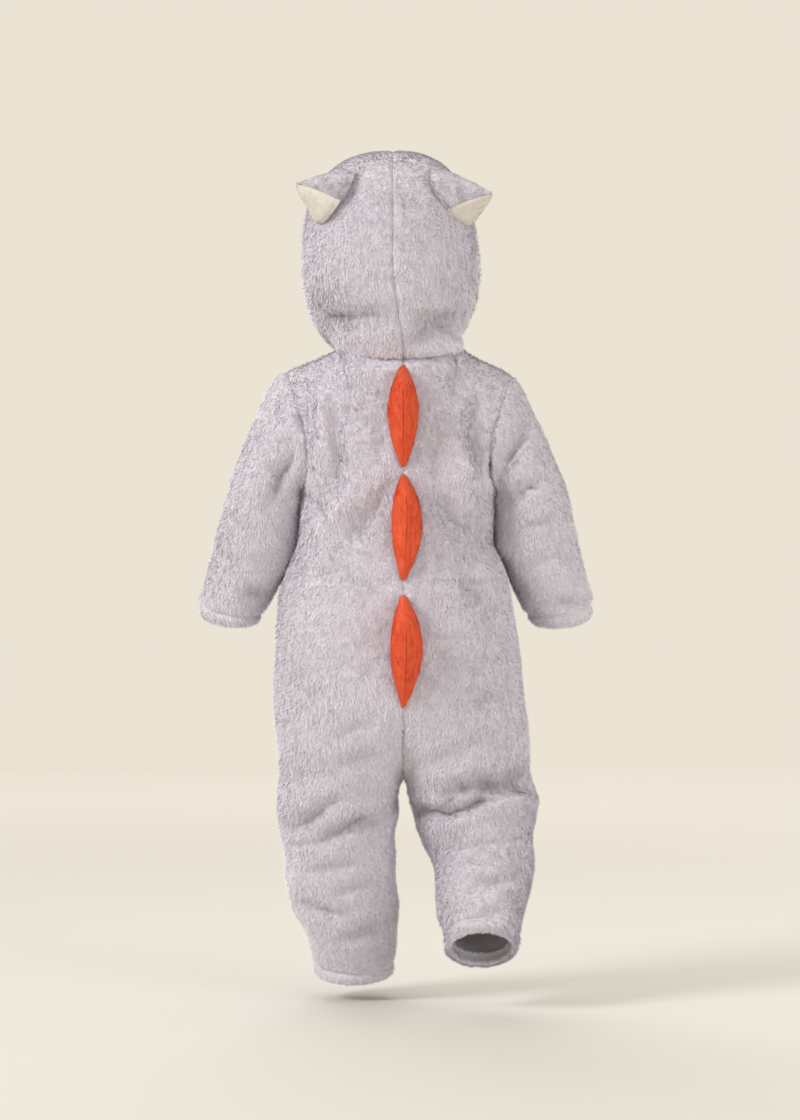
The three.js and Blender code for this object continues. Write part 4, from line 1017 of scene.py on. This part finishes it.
# Each kind of sheet: how many tufts it has, how evenly and which way they lie, and how it is held.
CUTS = {
    "back": dict(tufts=112000, tidy=body_tidy, held="draped"),
    "front": dict(tufts=56000, tidy=body_tidy, held="draped"),
    "sleeve": dict(tufts=57000, tidy=0.7, held="draped"),
    "hood": dict(tufts=62000, tidy=0.85, flow=-1, held="stretched"),
}


for seed, (name, sheet) in enumerate(SHEETS.items()):
    word = name.split("_")[0]
    cut = CUTS[word]
    hemmed = word != "hood"
    hem_rows = HEM_ROWS if hemmed else 0
    shell = shell_piece(f"cloth_{name}", sheet, [PLUSH_BASE, KNIT_BACK], hem_rows=hem_rows)
    parts = ("bodice_", "hips_", "leg_") if word in ("back", "front") else ("",)
    dress(shell, "plush", *[part + name for part in parts])
    nap = dict(tidy=cut["tidy"], flow=cut.get("flow", 1))
    pile = tufts(f"pile_{name}", sheet, cut["tufts"], 100 + 20 * seed, PLUSH, **nap)
    piles = [dress(pile, "plush")]
    if hemmed:
        count = 6000 if word == "sleeve" else 4200
        nap = dict(long=3.0, lift=52, tidy=0.2)
        fringe = tufts(f"pile_hem_{name}", hem_sheet(sheet), count, 500 + 20 * seed, PLUSH, **nap)
        piles.append(dress(fringe, "plush"))
    wide = float(np.max(sheet.total)) * MM
    tall = float(np.max(sheet.run)) * MM
    area = round(min(cell_areas(sheet.base, sheet.ring).sum() * MM * MM, wide * tall), 4)


# ------------------------------------------------------------------ hood band
def band_ring(degrees, section):
    sides = np.where(degrees < 180, 1, -1)
    angle = np.where(degrees < 180, degrees, 360 - degrees)
    rows = []
    for s, g in zip(sides, angle):
        on_side = g < FACE["corner"]
        across = 1.0 if on_side else (180 - g) / (180 - FACE["corner"])
        rim = hood_point(int(s), np.array([across]), np.array([g / FACE["corner"] if on_side else 1.0]))[0]
        outward = rim - HOOD_MIDDLE
        outward[1] = 0
        outward /= np.linalg.norm(outward)
        flare = mix(1, 1.9, math.sin(math.radians(g)) ** 2) if s == RIGHT else 1.0
        fade = float(ease(g, 20, 70))
        ring = []
        for out, ahead in section:
            proud = out * mix(0.3, flare, fade) if out > 0 else out
            ring.append(rim + outward * proud + np.array([0, -0.3 - ahead, 0]))
        rows.append(ring)
    return np.array(rows)


def smooth_section(section, count, shrink):
    """A closed outline drawn evenly through the section's points, pulled in by a distance."""
    pts = np.array(section, float)
    closed = np.vstack([pts, pts[:1]])
    s = np.linspace(0, len(pts), count, endpoint=False)
    i = np.floor(s).astype(int)
    f = (s - i)[:, None]
    p0, p1, p2, p3 = (closed[(i + k) % len(pts)] for k in (-1, 0, 1, 2))
    out = 0.5 * (2 * p1 + (p2 - p0) * f + (2 * p0 - 5 * p1 + 4 * p2 - p3) * f**2 + (3 * p1 - p0 - 3 * p2 + p3) * f**3)
    middle = out.mean(0)
    return out + (middle - out) * (shrink / np.linalg.norm(out - middle, axis=1, keepdims=True))


def tube_sheet(rings):
    """A sheet made from rings of points, outward from each ring's middle."""
    out = unit(rings - rings.mean(1, keepdims=True))
    outer = rings + out * (0.5 * noise(rings, 9, 41) + 0.7 * noise(rings, 22, 42))[..., None]
    return grid_sheet(outer, outer - out, ring=True)


BAND_SECTION = [(-3.6, 0), (3, 0), (6, 4), (6.5, 10), (3.5, 15), (-1, 16), (-3.6, 12)]
BAND_RINGS, BAND_SIDES = 150, 26
BAND_FADE = 22  # how many rings at each end have shorter pile
band_outline = smooth_section(BAND_SECTION, BAND_SIDES, 1.4)
band_sheet = tube_sheet(band_ring(np.linspace(34, 326, BAND_RINGS), band_outline))


def solid_piece(name, rings, mat):
    """A closed solid from rings of points, with a cap on each end."""
    rows, cols = rings.shape[:2]
    verts = rings.reshape(-1, 3)
    faces, row = grid_faces(rows, cols, cols)
    v = verts[faces]
    middle = rings.mean(1)[row]
    if (np.cross(v[:, 1] - v[:, 0], v[:, 3] - v[:, 0]) * (v.mean(1) - middle)).sum() < 0:
        faces = faces[:, ::-1]
    corner_u = np.where(faces % cols == 0, 0, faces % cols) / (cols + 1)
    corner_v = (faces // cols) / rows
    wide = corner_u.max(1) - corner_u.min(1)
    corner_u = np.where((wide > 0.5)[:, None] & (corner_u < 0.25), cols / (cols + 1), corner_u)
    uv = np.stack([0.02 + 0.96 * corner_u, 0.02 + 0.96 * corner_v], -1)
    piece = make_mesh(name, verts, faces, uv)
    bm = bmesh.new()
    bm.from_mesh(piece.data)
    bm.verts.ensure_lookup_table()
    for end in (0, rows - 1):
        bm.faces.new([bm.verts[end * cols + c] for c in range(cols)])
    bmesh.ops.recalc_face_normals(bm, faces=bm.faces)
    bm.to_mesh(piece.data)
    bm.free()
    piece.data.materials.append(mat)
    return piece


band_ends = np.minimum(np.arange(BAND_RINGS), np.arange(BAND_RINGS)[::-1])
band_trim = mix(0.4, 1.0, ease(band_ends, 0, BAND_FADE))
band_sheet.trim = np.repeat(band_trim[:, None], BAND_SIDES, axis=1)
band = dress(solid_piece("cloth_hood_band", band_sheet.outer, BAND_BASE), "band", "hood_band")
band_nap = dict(long=5.0, wide=1.5, lift=45, tidy=0.3)
dress(tufts("pile_hood_band", band_sheet, 20000, 901, BAND_PILE, **band_nap), "band")

# ------------------------------------------------------------------ fins
FIN_PROFILE = [
    (0, 0), (0.6, 0), (1, 0.02), (1.02, 0.16), (0.95, 0.32), (0.84, 0.48), (0.68, 0.64), (0.46, 0.8),
    (0.24, 0.92), (0.12, 0.98), (0.05, 0.995), (0, 0.99),
]
FIN_NAP = dict(long=1.3, wide=0.5, lift=40, tidy=0.6, soft=0.2, clumping=1.0)


def fin_rings(fin, side):
    shares = np.linspace(0.015, 0.985, 60)
    z = mix(fin["top"], fin["bottom"], shares)
    taper = np.sin(np.pi * shares**0.92)
    half = np.maximum(0.8, fin["half"] * taper**0.85)
    rise = -np.log(np.exp(-12 * shares / fin["apex"]) + np.exp(-12 * (1 - shares) / (1 - fin["apex"]))) / 12
    rise = np.clip(rise, 0, 1)
    high = np.maximum(1, fin["high"] * rise**0.9)
    base = centre_line(BACK, z) + 0.6
    lean = fin["lean"] * taper
    out, up = np.array(FIN_PROFILE).T
    x = side * np.maximum(0.15, half[:, None] * out) + lean[:, None]
    y = base[:, None] + high[:, None] * up
    zz = z[:, None] + high[:, None] * up * 0.12
    rings = stack(x, y, zz)
    soft = 0.35 * noise(rings, 16, 51) + 0.15 * noise(rings, 6, 52)
    rings[..., 0] += side * soft * (out > 0.3)
    return rings


for number, (word, fin) in enumerate(FINS.items()):
    for side in (LEFT, RIGHT):
        label = f"{word}_{NAMES[side]}"
        rings = fin_rings(fin, side)
        half_fin = solid_piece(f"cloth_fin_{label}", rings, ORANGE_BASE)
        dress(half_fin, "orange", f"fin_{label}")
        part = rings[:, 2:]
        skin = grid_sheet(part, part - np.array([side, 0, 0]))
        seed = 1000 + 30 * number + side
        dress(tufts(f"pile_fin_{label}", skin, 9500, seed, ORANGE_PILE, **FIN_NAP), "orange")

# ------------------------------------------------------------------ ears
def on_hood(x, z):
    half = HOOD["left"] if x > HOOD["x"] else HOOD["right"]
    n = HOOD["square"]
    room = 1 - abs((x - HOOD["x"]) / half) ** n - abs((z - HOOD["z"]) / HOOD["high"]) ** n
    return np.array([x, HOOD["y"] + HOOD["deep"] * max(room, 0) ** (1 / n), z])


def ear_rings(side, upper):
    ear = EARS[side]
    top, low = on_hood(*ear["top"]), on_hood(*ear["low"])
    base = on_hood(*(np.array(ear["top"]) + np.array(ear["low"])) * 0.5)
    tip = np.array(ear["tip"], float)
    rising = top - low
    half_high = np.linalg.norm(rising) / 2
    rising = rising / np.linalg.norm(rising)
    sideways = np.cross(tip - base, rising)
    sideways /= np.linalg.norm(sideways)
    turns = np.linspace(0, np.pi, 26) * (1 if upper else -1)
    shares = np.linspace(-0.18, 1, 44)
    rings = []
    for share in shares:
        bend, round_off = (1.1, 0.95) if upper else (1.25, 0.8)
        size = max(0.07, (1 - max(share, 0) ** bend) ** round_off)
        middle = base + (tip - base) * share + rising * 1.5 * math.sin(math.pi * max(share, 0))
        high = half_high * size * np.sin(turns)[:, None] + (0.15 if upper else -0.15)
        dent = 1.0 if upper else 1 - 0.06 * math.sin(math.pi * np.clip(share, 0, 1))
        wide = ear["deep"] * size * np.cos(turns)[:, None]
        rings.append(middle + rising * high * dent + sideways * wide)
    rings = np.array(rings)
    rings = rings + 0.4 * noise(rings, 12, 61)[..., None] * unit(rings - base)
    # the sewn-in end lies on the hood's own cloth
    rings[0] = mix(rings[0].mean(0), rings[0], 0.5)
    reach = rings - HOOD_MIDDLE
    way = unit(reach)
    least = (hood_radius(way) - 1.0)[..., None]
    least[0] += 1.2
    return np.where(length(reach) < least, HOOD_MIDDLE + way * least, rings)


# Each layer of an ear: its name, slot, ground, pile, number of tufts and how they stand.
EAR_LAYERS = [
    ("upper", "plush", PLUSH_BASE, PLUSH, 8000, dict(long=3.0, wide=0.95, lift=32, tidy=0.8, soft=0.1)),
    ("under", "cream", CREAM_BASE, CREAM_PILE, 6000, dict(long=1.1, wide=0.5, lift=30, tidy=0.9)),
]
for side in (LEFT, RIGHT):
    for word, slot, ground, fur, count, nap in EAR_LAYERS:
        label, upper = f"{NAMES[side]}_{word}", word == "upper"
        rings = ear_rings(side, upper)
        ear_piece = solid_piece(f"cloth_ear_{label}", rings, ground)
        dress(ear_piece, slot, f"ear_{label}")
        skin = grid_sheet(rings, mix(rings, rings.mean(1, keepdims=True), 0.1))
        skin.painted_shade_depth = np.full(skin.a.shape, -5.0)  # painted shade: the ears' pile is darkened as if it lay in a 5 mm deep crease
        seed = 1300 + 10 * side + upper
        dress(tufts(f"pile_ear_{label}", skin, count, seed, fur, **nap), slot)

# ------------------------------------------------------------------ zip
def tape_rings(side):
    z = np.linspace(ZIP["top"], ZIP["bottom"] - 8, 120)
    face = centre_line(FRONT, z) + ZIP["recess"]
    near, far = side * 0.15, side * (ZIP["half"] - 0.3)
    back = face + 2
    return np.stack([stack(near, face, z), stack(far, face, z), stack(far, back, z), stack(near, back, z)], 1)


for side in (LEFT, RIGHT):
    tape = solid_piece(f"cloth_zip_tape_{NAMES[side]}", tape_rings(side), TAPE)
    dress(tape, "tape", f"zip_tape_{NAMES[side]}")


TOOTH_PITCH = 1.25


def teeth():
    """The zip's teeth: small blocks in two rows that mesh, each with a raised head."""
    verts, faces = [], []
    square = [(-1, -1), (1, -1), (1, 1), (-1, 1)]
    block = np.array([(x, y, z) for z in (-1, 1) for x, y in square], float)
    quads = np.array([(0, 3, 2, 1), (4, 5, 6, 7), (0, 1, 5, 4), (1, 2, 6, 5), (2, 3, 7, 6), (3, 0, 4, 7)])
    for number in range(int((ZIP["top"] - ZIP["bottom"]) / TOOTH_PITCH)):
        z = ZIP["top"] - 1.5 - number * TOOTH_PITCH
        if z < ZIP["bottom"] + 2:
            break
        side = 1 if number % 2 else -1
        face = float(centre_line(FRONT, np.array(z))) + ZIP["recess"]
        for size, ahead in (((1.35, 0.35, 0.42), 0.35), ((0.55, 0.2, 0.5), 0.8)):
            verts.append(block * size + [side * (0.75 if size[0] > 1 else 0.3), face - ahead, z])
            faces.append(quads + 8 * (len(verts) - 1))
    return make_mesh("zip_teeth", np.concatenate(verts), np.concatenate(faces), smooth=False)


dress(teeth(), "metal").data.materials.append(METAL)
for name in ("zip_slider", "zip_pull"):
    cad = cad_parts[name]
    cad.data.materials.clear()
    cad.data.materials.append(METAL)

# ------------------------------------------------------------------ studio
def aim(thing, target):
    way = Vector(target) - thing.location
    thing.rotation_euler = way.to_track_quat("-Z", "Y").to_euler()


def add_light(name, place, target, size, power, colour):
    light = bpy.data.lights.new(name, "AREA")
    light.shape = "RECTANGLE"
    light.size, light.size_y = size
    light.energy = power
    light.color = colour
    made = bpy.data.objects.new(name, light)
    made.location = place
    bpy.context.scene.collection.objects.link(made)
    aim(made, target)


BACKGROUND = np.array([0.83, 0.77, 0.66])
FLOOR_PAINTED_LIGHT = np.array([0.09, 0.10, 0.11])  # painted light: the floor near the suit is a little paler than the background
FLOOR_Z, FLOOR_RADIUS = -0.615, 14.0
LAMPS = [
    ("key", (2.6, 1.75, 1.6), (0, 0, -0.15), (1.1, 1.1), 82, (0.965, 0.975, 1.0)),
    ("fill", (-2.3, 2.4, 0.4), (0, 0, -0.2), (1.8, 1.8), 35, (0.92, 0.95, 1.0)),
    ("front", (0.6, -2.2, 1.4), (0, 0, -0.15), (2.0, 1.6), 42, (0.93, 0.96, 1.0)),
]
for lamp in LAMPS:
    add_light(*lamp)


def floor_tones(points):
    """The floor's own tone: it evens out the lamps' light, so that the floor meets the background."""
    light = np.zeros((len(points), 3)) + BACKGROUND
    for _, place, target, _, power, colour in LAMPS:
        way = points - np.array(place)
        far = length(way)
        beam = unit(np.array(target) - np.array(place))
        lit = np.clip((way / far * beam).sum(-1, keepdims=True), 0, 1) * np.clip(-way[:, 2:] / far, 0, 1)
        light += power / math.pi**2 * lit / far**2 * np.array(colour)
    # painted light: the floor's tone is raised close to the suit
    near = np.exp(-((length(points[:, :2]) / 1.5) ** 2))
    return np.clip((BACKGROUND + FLOOR_PAINTED_LIGHT * near) / light, 0, 1)


floor_mat, floor_tree, floor_shader = material("studio", (0.76, 0.73, 0.66), rough=1.0)
floor_shader.inputs["Specular IOR Level"].default_value = 0
floor_tone = node(floor_tree, "ShaderNodeAttribute", attribute_name="tone")
floor_tree.links.new(floor_tone.outputs["Color"], floor_shader.inputs["Base Color"])
SECTORS = 72
radii = FLOOR_RADIUS * np.linspace(0, 1, 44)[1:] ** 2.2
turns = np.linspace(0, 2 * math.pi, SECTORS, endpoint=False)
floor_points = [[r * math.cos(t), r * math.sin(t), FLOOR_Z] for r in radii for t in turns]
floor_points = np.array([[0, 0, FLOOR_Z]] + floor_points)
rings = grid_faces(len(radii), SECTORS, SECTORS)[0] + 1
inmost = np.arange(SECTORS)
hub = np.stack([0 * inmost, 1 + inmost, 1 + (inmost + 1) % SECTORS], -1)
faces = np.concatenate([rings[:, [0, 1, 2]], rings[:, [0, 2, 3]], hub])
floor = make_mesh("floor", floor_points / MM, faces)
tones = np.concatenate([floor_tones(floor_points), np.ones((len(floor_points), 1))], 1)
tone_layer = floor.data.color_attributes.new("tone", "FLOAT_COLOR", "POINT")
tone_layer.data.foreach_set("color", tones.astype(np.float32).ravel())
floor.data.materials.append(floor_mat)
world = bpy.data.worlds.new("studio_world")
bpy.context.scene.world = world
world.use_nodes = True
world.node_tree.nodes["Background"].inputs["Color"].default_value = (*BACKGROUND, 1)
world.node_tree.nodes["Background"].inputs["Strength"].default_value = 1
bpy.context.scene.view_settings.view_transform = "Standard"

SENSOR, CAMERA_AWAY = 36, 3.2
VIEW_HIGH = 1.0752  # the photo's height at the suit: 1120 px of 0.96 mm
camera_data = bpy.data.cameras.new("camera")
camera_data.sensor_fit = "VERTICAL"
camera_data.sensor_height = SENSOR
camera_data.sensor_width = SENSOR * 800 / 1120
camera_data.lens = SENSOR * CAMERA_AWAY / VIEW_HIGH
camera_data.clip_end = 30
camera = bpy.data.objects.new("camera", camera_data)
camera.location = (0.003, CAMERA_AWAY, -0.190)
bpy.context.scene.collection.objects.link(camera)
aim(camera, (0.003, 0, -0.190))
bpy.context.scene.camera = camera
